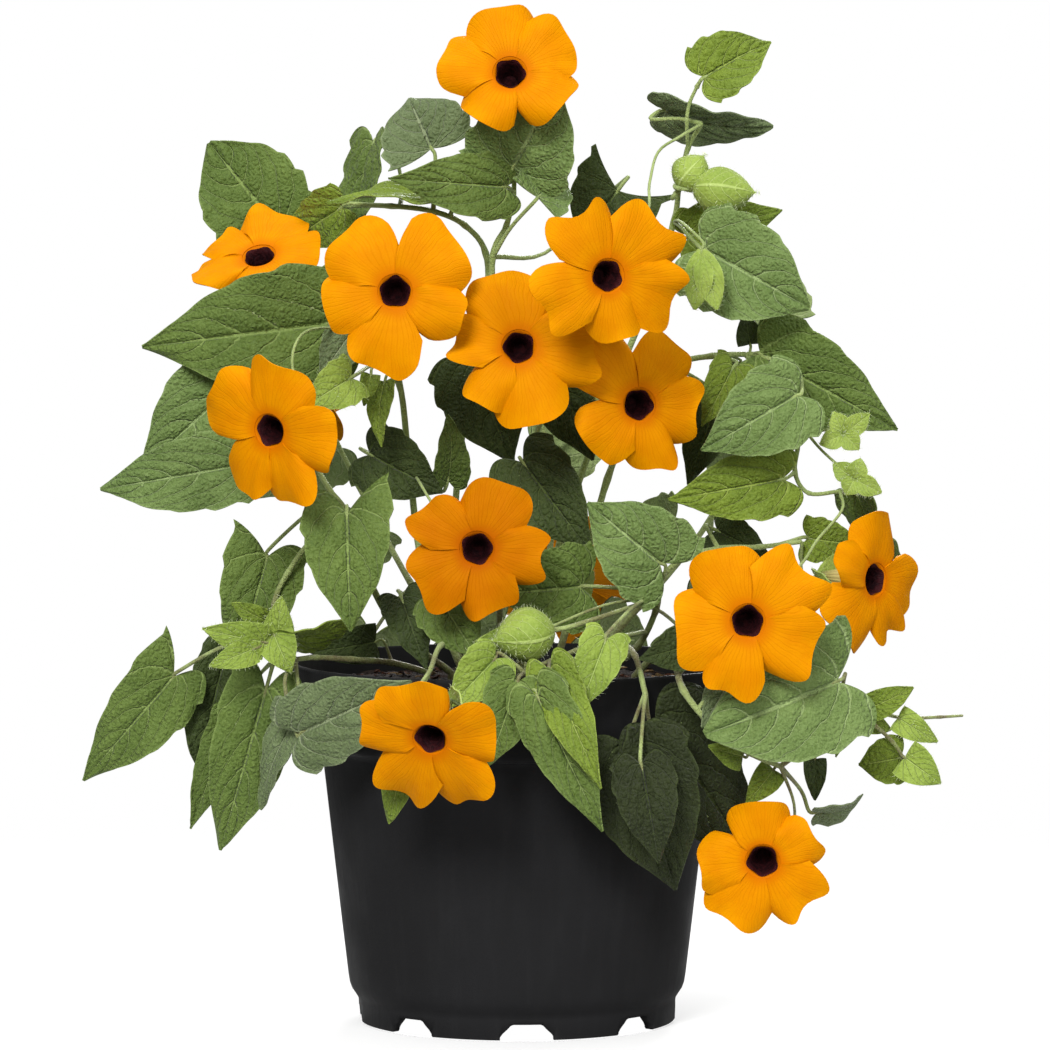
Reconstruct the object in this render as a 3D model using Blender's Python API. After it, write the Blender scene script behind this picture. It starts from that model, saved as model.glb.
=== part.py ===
"""Black-eyed Susan vine in its round black nursery pot.

The pot stands on the ground plane with its axis on Z, and the front of the plant faces -Y.
Lengths are in millimetres until a mesh is made. Places on the plant are given as seen from
the front, in the upright plane through the pot's axis, with a depth (negative towards the
viewer); seen() slides such a place along the line of sight to its depth.
"""

import math
import random

import bmesh
import bpy
from mathutils import Matrix, Vector

MM = 0.001

# Viewpoint from which the plant was measured
VIEWPOINT = Vector((2.3, -1715.0, 250.0))

# Pot
POT_TOP = 103.5
RIM_TOP_RADIUS = 65.0
RIM_FOOT_RADIUS = 62.3
RIM_FOOT_HEIGHT = 81.0
BODY_TOP_RADIUS = 56.3
BODY_TOP_HEIGHT = 79.3
BODY_FOOT_RADIUS = 48.4
BODY_FOOT_HEIGHT = 10.7
FOOT_RADIUS = 45.8
FOOT_HEIGHT = 6.3
FOOT_WIDTH = 3.2
POT_WALL = 1.6
FLOOR_TOP = 8.4
POT_SIDES = 28
NOTCHES = 8
NOTCH_TURN = math.radians(3.6)
NOTCH_HEIGHT = 4.4
NOTCH_TOP_HALF = 4.4
NOTCH_FOOT_HALF = 7.5
DRAIN_HOLES = 4
DRAIN_CIRCLE = 27.0
DRAIN_RADIUS = 3.6

# Compost
SOIL_HEIGHT = 97.0
SOIL_HEAP = 1.0
SOIL_UNEVENNESS = 1.2
SOIL_SIDES = 24
GAP = 0.3
STEM_HOLE_DEPTH = 22.0
STEM_HOLE_CLEARANCE = 0.6
ROOT_DEPTH = 77.0
COLLAR_HEIGHT = 101.0

# Leafy stems
STEM_SIDES = 4
STALK_SIDES = 4
BLADE = 0.8
STALK_RADIUS = 0.85
STALK_HALF = 0.62
STALK_NECK = 2.4
SHORT_STALK = 14.0
NARROW_LEAF = 12.5
BRACT_CELLS = (2, 2)
BRACT_SEAT = 2.2
BRACT_REACH = 13.5
BRACT_SPREAD = 8.5
BRACT_WIDTH = 11.0
TIDY_EDGES = (0.15, 0.1, 0.05, 0.02, 0.005)
BUD_SIDES = 5

# Blooms
THROAT_RADIUS = 5.0
CUP_RADIUS = 2.9
CUP_DEPTH = 4.0
PETAL = 0.7
TUBE_LENGTH = 18.0
TUBE_FLARE = 0.6
TUBE_END_RADIUS = 1.7
LOBE_MIDDLE = 0.32
PETAL_OVERLAP = 1.15
PETAL_MEET = 0.96
EYE_RIM = (4.05, -0.8)
EYE_FOOT = (2.5, -3.65)
EYE_CENTRE = -2.9

rng = random.Random(41)


def seen(x, z, depth):
    """Point seen at x, z in the plane of the pot's axis, at the given depth."""
    on_plane = Vector((x, 0.0, z))
    reach = (depth - VIEWPOINT.y) / -VIEWPOINT.y
    return VIEWPOINT + (on_plane - VIEWPOINT) * reach


def principled(name, colour, roughness):
    """A Principled material with one colour."""
    material = bpy.data.materials.new(name)
    material.use_nodes = True
    shader = material.node_tree.nodes["Principled BSDF"]
    shader.inputs["Base Color"].default_value = (*colour, 1.0)
    shader.inputs["Roughness"].default_value = roughness
    material.diffuse_color = (*colour, 1.0)
    return material


def mesh_object(name, points, faces, material):
    """An object from points in millimetres and faces as index tuples."""
    mesh = bpy.data.meshes.new(name)
    mesh.from_pydata([tuple(p * MM for p in point) for point in points], [], faces)
    mesh.materials.append(material)
    item = bpy.data.objects.new(name, mesh)
    bpy.context.scene.collection.objects.link(item)
    return item


def apply_modifier(item, modifier):
    """Apply one modifier of an object."""
    bpy.context.view_layer.objects.active = item
    with bpy.context.temp_override(object=item, active_object=item, selected_objects=[item]):
        bpy.ops.object.modifier_apply(modifier=modifier.name)


def combine(item, others, operation, solver):
    """Join the other objects to an object, or cut them from it, and remove them."""
    group = bpy.data.collections.new(item.name + "_set")
    bpy.context.scene.collection.children.link(group)
    for other in others:
        bpy.context.scene.collection.objects.unlink(other)
        group.objects.link(other)
    modifier = item.modifiers.new("combine", "BOOLEAN")
    modifier.operation = operation
    modifier.solver = solver
    modifier.operand_type = "COLLECTION"
    modifier.collection = group
    apply_modifier(item, modifier)
    for other in others:
        bpy.data.objects.remove(other)
    bpy.data.collections.remove(group)
    return item


def turned(name, profile, sides, material):
    """A solid of revolution from (radius, height) pairs that run down its outer side."""
    points = []
    rings = []
    for radius, height in profile:
        if radius == 0.0:
            rings.append([len(points)] * sides)
            points.append((0.0, 0.0, height))
            continue
        rings.append(list(range(len(points), len(points) + sides)))
        for side in range(sides):
            angle = math.tau * side / sides
            points.append((radius * math.cos(angle), radius * math.sin(angle), height))
    faces = []
    for upper, lower in zip(rings, rings[1:] + rings[:1]):
        if upper[0] == upper[-1] and lower[0] == lower[-1]:
            continue
        for side in range(sides):
            after = (side + 1) % sides
            corners = [upper[side], lower[side], lower[after], upper[after]]
            faces.append(tuple(dict.fromkeys(corners)))
    return mesh_object(name, points, faces, material)


def along_line(points, u):
    """Point at u on a line of points, where whole numbers are the points themselves."""
    i = min(int(u), len(points) - 2)
    return points[i].lerp(points[i + 1], u - i)


def tube(name, line, radii, sides, material):
    """A closed tube along a line of points, one radius for each."""
    points = []
    faces = []
    normal = None
    count = len(line)
    for i, centre in enumerate(line):
        ahead = line[min(i + 1, count - 1)] - line[max(i - 1, 0)]
        axis = ahead.normalized()
        if normal is None:
            normal = axis.orthogonal().normalized()
        normal = (normal - axis * normal.dot(axis)).normalized()
        across = axis.cross(normal)
        for side in range(sides):
            angle = math.tau * side / sides
            arm = normal * math.cos(angle) + across * math.sin(angle)
            points.append(centre + arm * radii[i])
    for i in range(count - 1):
        for side in range(sides):
            a = i * sides + side
            b = i * sides + (side + 1) % sides
            faces.append((a, b, b + sides, a + sides))
    faces.append(tuple(reversed(range(sides))))
    faces.append(tuple(range((count - 1) * sides, count * sides)))
    return mesh_object(name, points, faces, material)


def blade_half(t, shape):
    """Half the width of a blade at t, from its stalk (0) to its tip (1)."""
    if shape["bract"]:
        return 0.5 * shape["width"] * (1.0 - t) * (0.25 + 3.3 * t)
    return 0.5 * shape["width"] * (1.0 - t) ** shape["taper"] * (0.92 + 1.4 * t)


def blade_point(s, t, shape):
    """Place on a leaf blade: s runs from edge to edge (-1 to 1), t from stalk (0) to tip (1)."""
    a = abs(s)
    half = blade_half(t, shape)
    ear = shape["ear"][0] if s < 0 else shape["ear"][1]
    lobe = shape["lobe"]
    back = (a * (4 * lobe - ear) + a * a * (2 * ear - 4 * lobe)) * (1.0 - t) ** 2
    along = shape["length"] * (t - back)
    wave = 0.028 * shape["length"] * a * a * math.sin(math.tau * (1.4 * t + shape["phase"]) + s)
    rise = a * half * math.sin(shape["fold"]) + shape["bend"] * 4 * t * (1 - t) + wave
    out = s * half * math.cos(shape["fold"])
    return shape["base"] + shape["axis"] * along + shape["side"] * out + shape["face"] * rise


def blade_shape(base, tip, face, width, fold, bend, lobe=0.0, ear=(0.0, 0.0), taper=1.0,
                bract=False):
    """Named measures of one leaf or bract, for blade_point()."""
    axis = (tip - base).normalized()
    face = (face - axis * face.dot(axis)).normalized()
    return {
        "base": base, "axis": axis, "face": face, "side": axis.cross(face),
        "length": (tip - base).length, "width": width, "fold": math.radians(fold),
        "bend": bend, "lobe": lobe, "ear": ear, "taper": taper,
        "phase": (base.x * 0.37 + base.z * 0.11) % 1.0, "bract": bract,
    }


def blade(name, shape, cells, stops, material):
    """A leaf or bract as one closed thin solid, split alike on both faces.

    Its stalk runs from a narrow strip at the middle of its base through the stops, if any.
    """
    across, rows = cells
    strip = min(STALK_RADIUS / blade_half(0.0, shape), 0.45)
    outer = [1.0 - 2.0 * i / across for i in range(across // 2)]
    columns = [-s for s in outer] + [-strip, strip] + outer[::-1]
    last = len(columns) - 1
    inner = across // 2
    middle = [[blade_point(s, r / rows, shape) for s in columns] for r in range(rows)]
    nose = blade_point(0.0, 1.0, shape)
    middle.append([nose] * len(columns))

    def normal(r, c):
        if r == rows:
            along = nose - middle[rows - 1][inner]
            wide = middle[rows - 1][last] - middle[rows - 1][0]
        else:
            along = middle[r + 1][c] - middle[max(r - 1, 0)][c]
            wide = middle[r][min(c + 1, last)] - middle[r][max(c - 1, 0)]
        return wide.cross(along).normalized()

    half = 0.5 * BLADE
    points = []
    upper = []
    lower = []
    for r in range(rows):
        upper.append([])
        lower.append([])
        for c in range(len(columns)):
            out = normal(r, c) * half
            upper[r].append(len(points))
            points.append(middle[r][c] + out)
            lower[r].append(len(points))
            points.append(middle[r][c] - out)
    out = normal(rows, 0) * half
    upper.append([len(points)] * len(columns))
    points.append(nose + out)
    lower.append([len(points)] * len(columns))
    points.append(nose - out)

    faces = []
    for r in range(rows):
        for c in range(last):
            a, b = (r, c), (r, c + 1)
            d, e = (r + 1, c), (r + 1, c + 1)
            if r == rows - 1:
                cuts = [(a, b, d)]
            elif c < inner:
                cuts = [(a, b, e), (a, e, d)]
            else:
                cuts = [(a, b, d), (b, e, d)]
            for cut in cuts:
                faces.append(tuple(upper[i][j] for i, j in cut))
                faces.append(tuple(lower[i][j] for i, j in reversed(cut)))
    rim = [(0, c) for c in range(last, -1, -1)]
    rim += [(r, 0) for r in range(1, rows + 1)]
    rim += [(r, last) for r in range(rows - 1, -1, -1)]
    for (r0, c0), (r1, c1) in zip(rim, rim[1:]):
        if stops and r0 == r1 == 0 and c1 == inner:
            continue
        a, b = upper[r0][c0], upper[r1][c1]
        d, e = lower[r0][c0], lower[r1][c1]
        faces.append((a, b, e))
        faces.append((a, e, d))

    ring = [upper[0][inner], upper[0][inner + 1], lower[0][inner + 1], lower[0][inner]]
    side, face = shape["side"], shape["face"]
    before = shape["base"] + shape["axis"] * 2.0
    for i, stop in enumerate(stops):
        ahead = stops[i + 1] if i + 1 < len(stops) else stop * 2.0 - before
        axis = (before - stop).normalized() + (stop - ahead).normalized()
        axis.normalize()
        side = (side - axis * side.dot(axis)).normalized()
        face = side.cross(axis).normalized()
        start = len(points)
        for u, v in ((-1.0, 1.0), (1.0, 1.0), (1.0, -1.0), (-1.0, -1.0)):
            points.append(stop + (side * u + face * v) * STALK_HALF)
        for k in range(4):
            after = (k + 1) % 4
            faces.append((ring[after], ring[k], start + k, start + after))
        ring = [start, start + 1, start + 2, start + 3]
        before = stop
    if stops:
        faces.append(tuple(reversed(ring)))
    return mesh_object(name, points, faces, material)


def bud(name, base, tip, width, material):
    """A closed pointed bud, made of bracts pressed together."""
    axis = (tip - base).normalized()
    length = (tip - base).length
    side = axis.orthogonal().normalized()
    front = axis.cross(side)
    stations = [(0.0, 0.2), (0.3, 0.95), (0.7, 0.75)]
    points = []
    faces = []
    for share, swell in stations:
        for k in range(BUD_SIDES):
            angle = math.tau * k / BUD_SIDES
            arm = side * math.cos(angle) + front * math.sin(angle)
            points.append(base + axis * length * share + arm * swell * 0.5 * width)
    point = len(points)
    points.append(tip)
    for ring in range(len(stations) - 1):
        for k in range(BUD_SIDES):
            a = ring * BUD_SIDES + k
            b = ring * BUD_SIDES + (k + 1) % BUD_SIDES
            faces.append((a, b, b + BUD_SIDES, a + BUD_SIDES))
    last = (len(stations) - 1) * BUD_SIDES
    for k in range(BUD_SIDES):
        faces.append((last + k, last + (k + 1) % BUD_SIDES, point))
    faces.append(tuple(reversed(range(BUD_SIDES))))
    return mesh_object(name, points, faces, material)


class Bloom:
    """Place, facing and lobes of one flower.

    turn is to the viewer's right and lift is upwards, in degrees. Each lobe is given by its
    clock angle from the right, its reach from the throat and its width.
    """

    def __init__(self, number, throat, turn, lift, lobes):
        self.number = number
        self.throat = seen(*throat)
        turn, lift = math.radians(turn), math.radians(lift)
        self.out = Vector((
            math.sin(turn) * math.cos(lift), -math.cos(turn) * math.cos(lift), math.sin(lift)
        ))
        self.right = Vector((math.cos(turn), math.sin(turn), 0.0))
        self.up = self.out.cross(self.right)
        self.lobes = sorted(lobes)

    def place(self, radius, angle, rise):
        """Point at a radius and angle about the throat, raised along the facing."""
        arm = self.right * math.cos(angle) + self.up * math.sin(angle)
        return self.throat + arm * radius + self.out * rise

    def heel(self):
        """Centre of the tube's rear end."""
        return self.throat - self.out * TUBE_LENGTH

    def ring_angles(self):
        """Angles of the ten points round the throat: each lobe's edge, then its middle."""
        middles = [math.radians(angle) for angle, reach, width in self.lobes]
        angles = []
        for i, middle in enumerate(middles):
            before = middles[i - 1] - (math.tau if i == 0 else 0.0)
            angles += [0.5 * (before + middle), middle]
        return angles


def corolla(bloom, material):
    """Five overlapping lobes fused into a tapering tube, with a cup at the throat."""
    angles = bloom.ring_angles()
    count = len(angles)
    points = []
    faces = []

    def ring(radius, rise):
        start = len(points)
        points.extend(bloom.place(radius, angle, rise) for angle in angles)
        return list(range(start, start + count))

    def band(upper, lower):
        for i in range(count):
            j = (i + 1) % count
            faces.append((upper[i], lower[i], lower[j]))
            faces.append((upper[i], lower[j], upper[j]))

    front = ring(THROAT_RADIUS, 0.5 * PETAL)
    cup = ring(CUP_RADIUS, -CUP_DEPTH)
    back = ring(THROAT_RADIUS + TUBE_FLARE, -0.5 * PETAL)
    heel = ring(TUBE_END_RADIUS, -TUBE_LENGTH)
    band(cup, front)
    faces.append(tuple(cup))
    band(back, heel)
    faces.append(tuple(reversed(heel)))

    for k, (degrees, reach, width) in enumerate(bloom.lobes):
        angle = math.radians(degrees)
        ids = [2 * k, 2 * k + 1, (2 * k + 2) % count]
        edges = [angles[ids[0]], angles[ids[2]]]
        if edges[1] < angle:
            edges[1] += math.tau
        middle_radius = THROAT_RADIUS + LOBE_MIDDLE * (reach - THROAT_RADIUS)
        dip = rng.uniform(-0.6, 0.6)
        grid = []
        for u in (-1.0, 0.0, 1.0):
            edge = edges[0] if u < 0 else edges[1]
            spread = angle + PETAL_MEET * abs(u) * (edge - angle)
            grid.append(bloom.place(middle_radius, spread, 0.85 * u + 0.7))
        outline = ((-1.0, 0.68), (-0.62, 0.97), (0.04, 0.94), (0.6, 1.0), (1.0, 0.7))
        for u, share in outline:
            along = reach * (share + rng.uniform(-0.03, 0.03))
            edge = edges[0] if u < 0 else edges[1]
            spread = math.atan2(0.5 * width * u, along)
            if abs(u) == 1.0 and abs(spread) < PETAL_MEET * abs(edge - angle):
                spread = PETAL_MEET * (edge - angle)
            rise = PETAL_OVERLAP * u - 0.7 + dip * math.cos(4.0 * u)
            grid.append(bloom.place(math.hypot(along, 0.5 * width * u), angle + spread, rise))
        top = [front[i] for i in ids]
        bottom = [back[i] for i in ids]
        for point in grid:
            top.append(len(points))
            points.append(point + bloom.out * 0.5 * PETAL)
            bottom.append(len(points))
            points.append(point - bloom.out * 0.5 * PETAL)
        cuts = (
            (0, 3, 4), (0, 4, 1), (1, 4, 5), (1, 5, 2),
            (3, 6, 7), (3, 7, 4), (4, 7, 8), (4, 8, 9), (4, 9, 5), (5, 9, 10),
        )
        for a, b, c in cuts:
            faces.append((top[a], top[b], top[c]))
            faces.append((bottom[c], bottom[b], bottom[a]))
        rim = (0, 3, 6, 7, 8, 9, 10, 5, 2)
        for a, b in zip(rim, rim[1:]):
            faces.append((top[b], top[a], bottom[a]))
            faces.append((top[b], bottom[a], bottom[b]))
    return mesh_object(f"bloom_{bloom.number:02d}_petals", points, faces, material)


def eye(bloom, material):
    """Dark throat of the flower: a small dish that sits in the corolla's cup."""
    angles = bloom.ring_angles()
    count = len(angles)
    points = []
    for radius, rise in (EYE_RIM, EYE_FOOT):
        points.extend(bloom.place(radius, angle, rise) for angle in angles)
    points.append(bloom.throat + bloom.out * EYE_CENTRE)
    faces = []
    for i in range(count):
        j = (i + 1) % count
        faces.append((i, j, 2 * count))
        faces.append((i, count + i, count + j))
        faces.append((i, count + j, j))
    faces.append(tuple(reversed(range(count, 2 * count))))
    return mesh_object(f"bloom_{bloom.number:02d}_eye", points, faces, material)


def keep_largest(item):
    """Remove the small closed shells inside an object, and keep its outer one."""
    mesh = bmesh.new()
    mesh.from_mesh(item.data)
    shells = []
    left = set(mesh.verts)
    while left:
        shell = [left.pop()]
        for vertex in shell:
            for edge in vertex.link_edges:
                other = edge.other_vert(vertex)
                if other in left:
                    left.remove(other)
                    shell.append(other)
        shells.append(shell)
    shells.sort(key=len)
    for shell in shells[:-1]:
        bmesh.ops.delete(mesh, geom=shell, context="VERTS")
    mesh.to_mesh(item.data)
    mesh.free()


def drop_short_edges(item):
    """Collapse the shortest edges left along the joins, as far as the solid stays closed."""
    for reach in TIDY_EDGES:
        mesh = bmesh.new()
        mesh.from_mesh(item.data)
        bmesh.ops.triangulate(mesh, faces=mesh.faces[:])
        bmesh.ops.dissolve_degenerate(mesh, dist=reach * MM, edges=mesh.edges[:])
        bmesh.ops.triangulate(mesh, faces=mesh.faces[:])
        closed = all(len(edge.link_faces) == 2 for edge in mesh.edges)
        if closed:
            mesh.to_mesh(item.data)
        mesh.free()
        if closed:
            return


class LeafyStem:
    """One living stem with its branches, stalks, leaves, bracts and buds, joined in one solid."""

    def __init__(self, name, material):
        self.name = name
        self.material = material
        self.routes = []
        self.roots = []
        self.pieces = []

    def keep(self, item):
        self.pieces.append(item)

    def at(self, place):
        """Point on a route: place is (route number, station) or a station on the first."""
        route, u = place if isinstance(place, tuple) else (0, place)
        return along_line(self.routes[route], u)

    def stem(self, points, thick, thin, start=None):
        """A stem through places as seen. A branch starts on an earlier route, and a stem
        with no start stands upright in the compost."""
        route = [seen(*p) for p in points]
        if start is None:
            route[0].z = COLLAR_HEIGHT
            self.roots.append((route[0].x, route[0].y, thick))
        else:
            route.insert(0, self.at(start))
        self.routes.append(route)
        line = list(route)
        radii = [thick + (thin - thick) * i / (len(route) - 1) for i in range(len(route))]
        if start is None:
            line.insert(0, Vector((route[0].x, route[0].y, ROOT_DEPTH)))
            radii.insert(0, thick)
        self.keep(tube(self.name + "_route", line, radii, STEM_SIDES, self.material))

    def stalk(self, start, end, heading, radius, via=()):
        """A thin stalk from a stem that arrives at its end along a heading."""
        stops = [self.at(start)] + [seen(*p) for p in via]
        reach = min(0.35 * (end - stops[-1]).length, 7.0)
        stops += [end - heading * reach, end]
        self.keep(tube(self.name + "_stalk", stops, [radius] * len(stops), STALK_SIDES,
                       self.material))

    def leaf(self, start, base, tip, width, roll=0.0, fold=8.0, bend=2.0, lobe=0.16,
             ear=(0.03, 0.03), taper=1.05, cells=(4, 3), via=()):
        """A leaf on its stalk. roll turns the blade about its midrib from facing the viewer."""
        base, tip = seen(*base), seen(*tip)
        axis = (tip - base).normalized()
        face = Vector((0.0, -1.0, 0.0))
        face = (face - axis * face.dot(axis)).normalized()
        face = Matrix.Rotation(math.radians(roll), 3, axis) @ face
        shape = blade_shape(base, tip, face, width, fold, bend, lobe, ear, taper)
        self.grow(start, shape, cells, via)

    def grow(self, start, shape, cells, via):
        """Add a blade with the stalk that carries it from a place on a stem."""
        base, axis, face = shape["base"], shape["axis"], shape["face"]
        way = [seen(*p) for p in reversed(via)] + [self.at(start)]
        neck = min(STALK_NECK, 0.3 * (way[0] - base).length)
        hand = math.copysign(neck, (way[0] - base).dot(face))
        stops = [base - axis * neck + face * 0.4 * hand]
        back = way[0] - stops[0]
        if back.dot(axis) > 0.3 * back.length:
            stops.append(stops[0] - axis * 0.6 * neck + face * 1.2 * hand)
        if not via and back.length > SHORT_STALK:
            arch = Vector((0.0, 0.0, 0.06 * back.length))
            stops.append(stops[-1].lerp(way[0], 0.55) + arch)
        self.keep(blade(self.name + "_blade", shape, cells, stops + way, self.material))

    def small_leaf(self, start, base, tip, width, **more):
        """A small leaf or bract with fewer faces."""
        if width < NARROW_LEAF:
            more = {"cells": (2, 2), "lobe": 0.03, "ear": (0.03, 0.03), **more}
        self.leaf(start, base, tip, width, **{"cells": (2, 3), "ear": (0.13, 0.13), **more})

    def closed_bud(self, start, base, tip, width, via=()):
        """A bud wrapped in its two bracts."""
        base, tip = seen(*base), seen(*tip)
        self.keep(bud(self.name + "_bud", base, tip, width, self.material))
        heading = (tip - base).normalized()
        self.stalk(start, base + heading * 2.0, heading, 0.7, via)

    def calyx(self, start, centre, tips, width, via=()):
        """Bracts spread open like a star after a flower has dropped."""
        centre = seen(*centre)
        front = Vector((0.0, -1.0, 0.0))
        shapes = [blade_shape(centre, seen(*tip), front, width, 14.0, 1.0, bract=True)
                  for tip in tips]
        self.grow(start, shapes[0], BRACT_CELLS, via)
        for shape in shapes[1:]:
            self.keep(blade(self.name + "_bract", shape, BRACT_CELLS, [], self.material))

    def holds(self, start, bloom, spin=20.0, via=()):
        """The stalk of a bloom and the two bracts that clasp its tube."""
        seat = bloom.throat - bloom.out * (TUBE_LENGTH + BRACT_SEAT)
        shapes = []
        for turn in (spin, spin + 180.0):
            arm = bloom.place(1.0, math.radians(turn), 0.0) - bloom.throat
            tip = seat + bloom.out * BRACT_REACH + arm * BRACT_SPREAD
            shapes.append(blade_shape(seat, tip, arm, BRACT_WIDTH, 12.0, 1.6, bract=True))
        self.grow(start, shapes[0], BRACT_CELLS, via)
        self.keep(blade(self.name + "_bract", shapes[1], BRACT_CELLS, [], self.material))

    def join(self):
        """Fuse all pieces into the stem's one solid, with no hollow left between them."""
        first, rest = self.pieces[0], self.pieces[1:]
        first.name = self.name
        combine(first, rest, "UNION", "MANIFOLD")
        keep_largest(first)
        drop_short_edges(first)


def build_pot(material):
    """Thin-walled pot: rim band, step, tapering body, foot ring, floor, notches and drains."""
    outer = [
        (RIM_TOP_RADIUS - 0.8, POT_TOP),
        (RIM_TOP_RADIUS, POT_TOP - 0.9),
        (RIM_FOOT_RADIUS, RIM_FOOT_HEIGHT),
        (RIM_FOOT_RADIUS - 1.2, RIM_FOOT_HEIGHT - 1.0),
        (BODY_TOP_RADIUS, BODY_TOP_HEIGHT),
        (BODY_FOOT_RADIUS, BODY_FOOT_HEIGHT),
        (FOOT_RADIUS, FOOT_HEIGHT),
        (FOOT_RADIUS, 0.0),
    ]
    inner = [
        (FOOT_RADIUS - FOOT_WIDTH, 0.0),
        (FOOT_RADIUS - FOOT_WIDTH, FLOOR_TOP - POT_WALL),
        (0.0, FLOOR_TOP - POT_WALL),
        (0.0, FLOOR_TOP),
        (BODY_FOOT_RADIUS - POT_WALL, FLOOR_TOP),
        (BODY_TOP_RADIUS - POT_WALL, BODY_TOP_HEIGHT + 0.8),
        (RIM_FOOT_RADIUS - POT_WALL, RIM_FOOT_HEIGHT + 1.0),
        (RIM_TOP_RADIUS - POT_WALL, POT_TOP),
    ]
    pot = turned("pot", outer + inner, POT_SIDES, material)
    cutters = []
    for k in range(NOTCHES):
        turn = NOTCH_TURN + math.tau * k / NOTCHES - math.pi / 2
        cutters.append(notch_cutter(turn, material))
    for k in range(DRAIN_HOLES):
        angle = math.tau * (k + 0.5) / DRAIN_HOLES
        above, below = FLOOR_TOP + 2.0, FLOOR_TOP - POT_WALL - 2.0
        hole = turned("drain", [(0.0, above), (DRAIN_RADIUS, above), (DRAIN_RADIUS, below),
                                (0.0, below)], 6, material)
        hole.location = (DRAIN_CIRCLE * math.cos(angle) * MM, DRAIN_CIRCLE * math.sin(angle) * MM,
                         0.0)
        cutters.append(hole)
    combine(pot, cutters, "DIFFERENCE", "EXACT")
    pot.data.shade_smooth()
    pot.data.set_sharp_from_angle(angle=math.radians(32.0))
    return pot


def notch_cutter(turn, material):
    """An arch through the foot ring, flared towards the ground."""
    spring, below = 1.2, -1.0
    outline = [
        (NOTCH_FOOT_HALF, below), (NOTCH_FOOT_HALF, spring), (NOTCH_TOP_HALF, NOTCH_HEIGHT),
        (-NOTCH_TOP_HALF, NOTCH_HEIGHT), (-NOTCH_FOOT_HALF, spring), (-NOTCH_FOOT_HALF, below),
    ]
    near, far = FOOT_RADIUS - FOOT_WIDTH - 2.0, FOOT_RADIUS + 3.0
    points = [(radius, along, height) for radius in (near, far) for along, height in outline]
    count = len(outline)
    faces = [tuple(reversed(range(count))), tuple(range(count, 2 * count))]
    for i in range(count):
        j = (i + 1) % count
        faces.append((i, j, j + count, i + count))
    cutter = mesh_object("notch", points, faces, material)
    cutter.rotation_euler.z = turn
    return cutter


def build_soil(stems, material):
    """Compost that fills the pot, with a plain hole for each stem."""
    def wall(height):
        share = (height - FLOOR_TOP) / (BODY_TOP_HEIGHT - FLOOR_TOP)
        radius = BODY_FOOT_RADIUS + (BODY_TOP_RADIUS - BODY_FOOT_RADIUS) * share
        return radius - POT_WALL - GAP * 3.0

    profile = [
        (0.0, SOIL_HEIGHT + SOIL_HEAP),
        (24.0, SOIL_HEIGHT + SOIL_HEAP),
        (46.0, SOIL_HEIGHT),
        (61.2, SOIL_HEIGHT - SOIL_HEAP),
        (RIM_FOOT_RADIUS - POT_WALL - 0.9, RIM_FOOT_HEIGHT + 1.6),
        (wall(BODY_TOP_HEIGHT), BODY_TOP_HEIGHT + 1.6),
        (wall(FLOOR_TOP), FLOOR_TOP + GAP),
        (0.0, FLOOR_TOP + GAP),
    ]
    soil = turned("soil", profile, SOIL_SIDES, material)
    for vertex in soil.data.vertices:
        if vertex.co.z > (SOIL_HEIGHT - 0.5) * MM and vertex.co.xy.length > 1.0 * MM:
            vertex.co.z += rng.uniform(-SOIL_UNEVENNESS, SOIL_UNEVENNESS) * MM
    holes = []
    for x, y, thick in [root for stem in stems for root in stem.roots]:
        reach = thick + STEM_HOLE_CLEARANCE
        hole = turned("stem_hole", [(0.0, 12.0), (reach, 12.0), (reach, -STEM_HOLE_DEPTH),
                                    (0.0, -STEM_HOLE_DEPTH)], 6, material)
        hole.location = (x * MM, y * MM, SOIL_HEIGHT * MM)
        holes.append(hole)
    return combine(soil, holes, "DIFFERENCE", "EXACT")


for old in list(bpy.data.objects):
    bpy.data.objects.remove(old, do_unlink=True)

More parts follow.
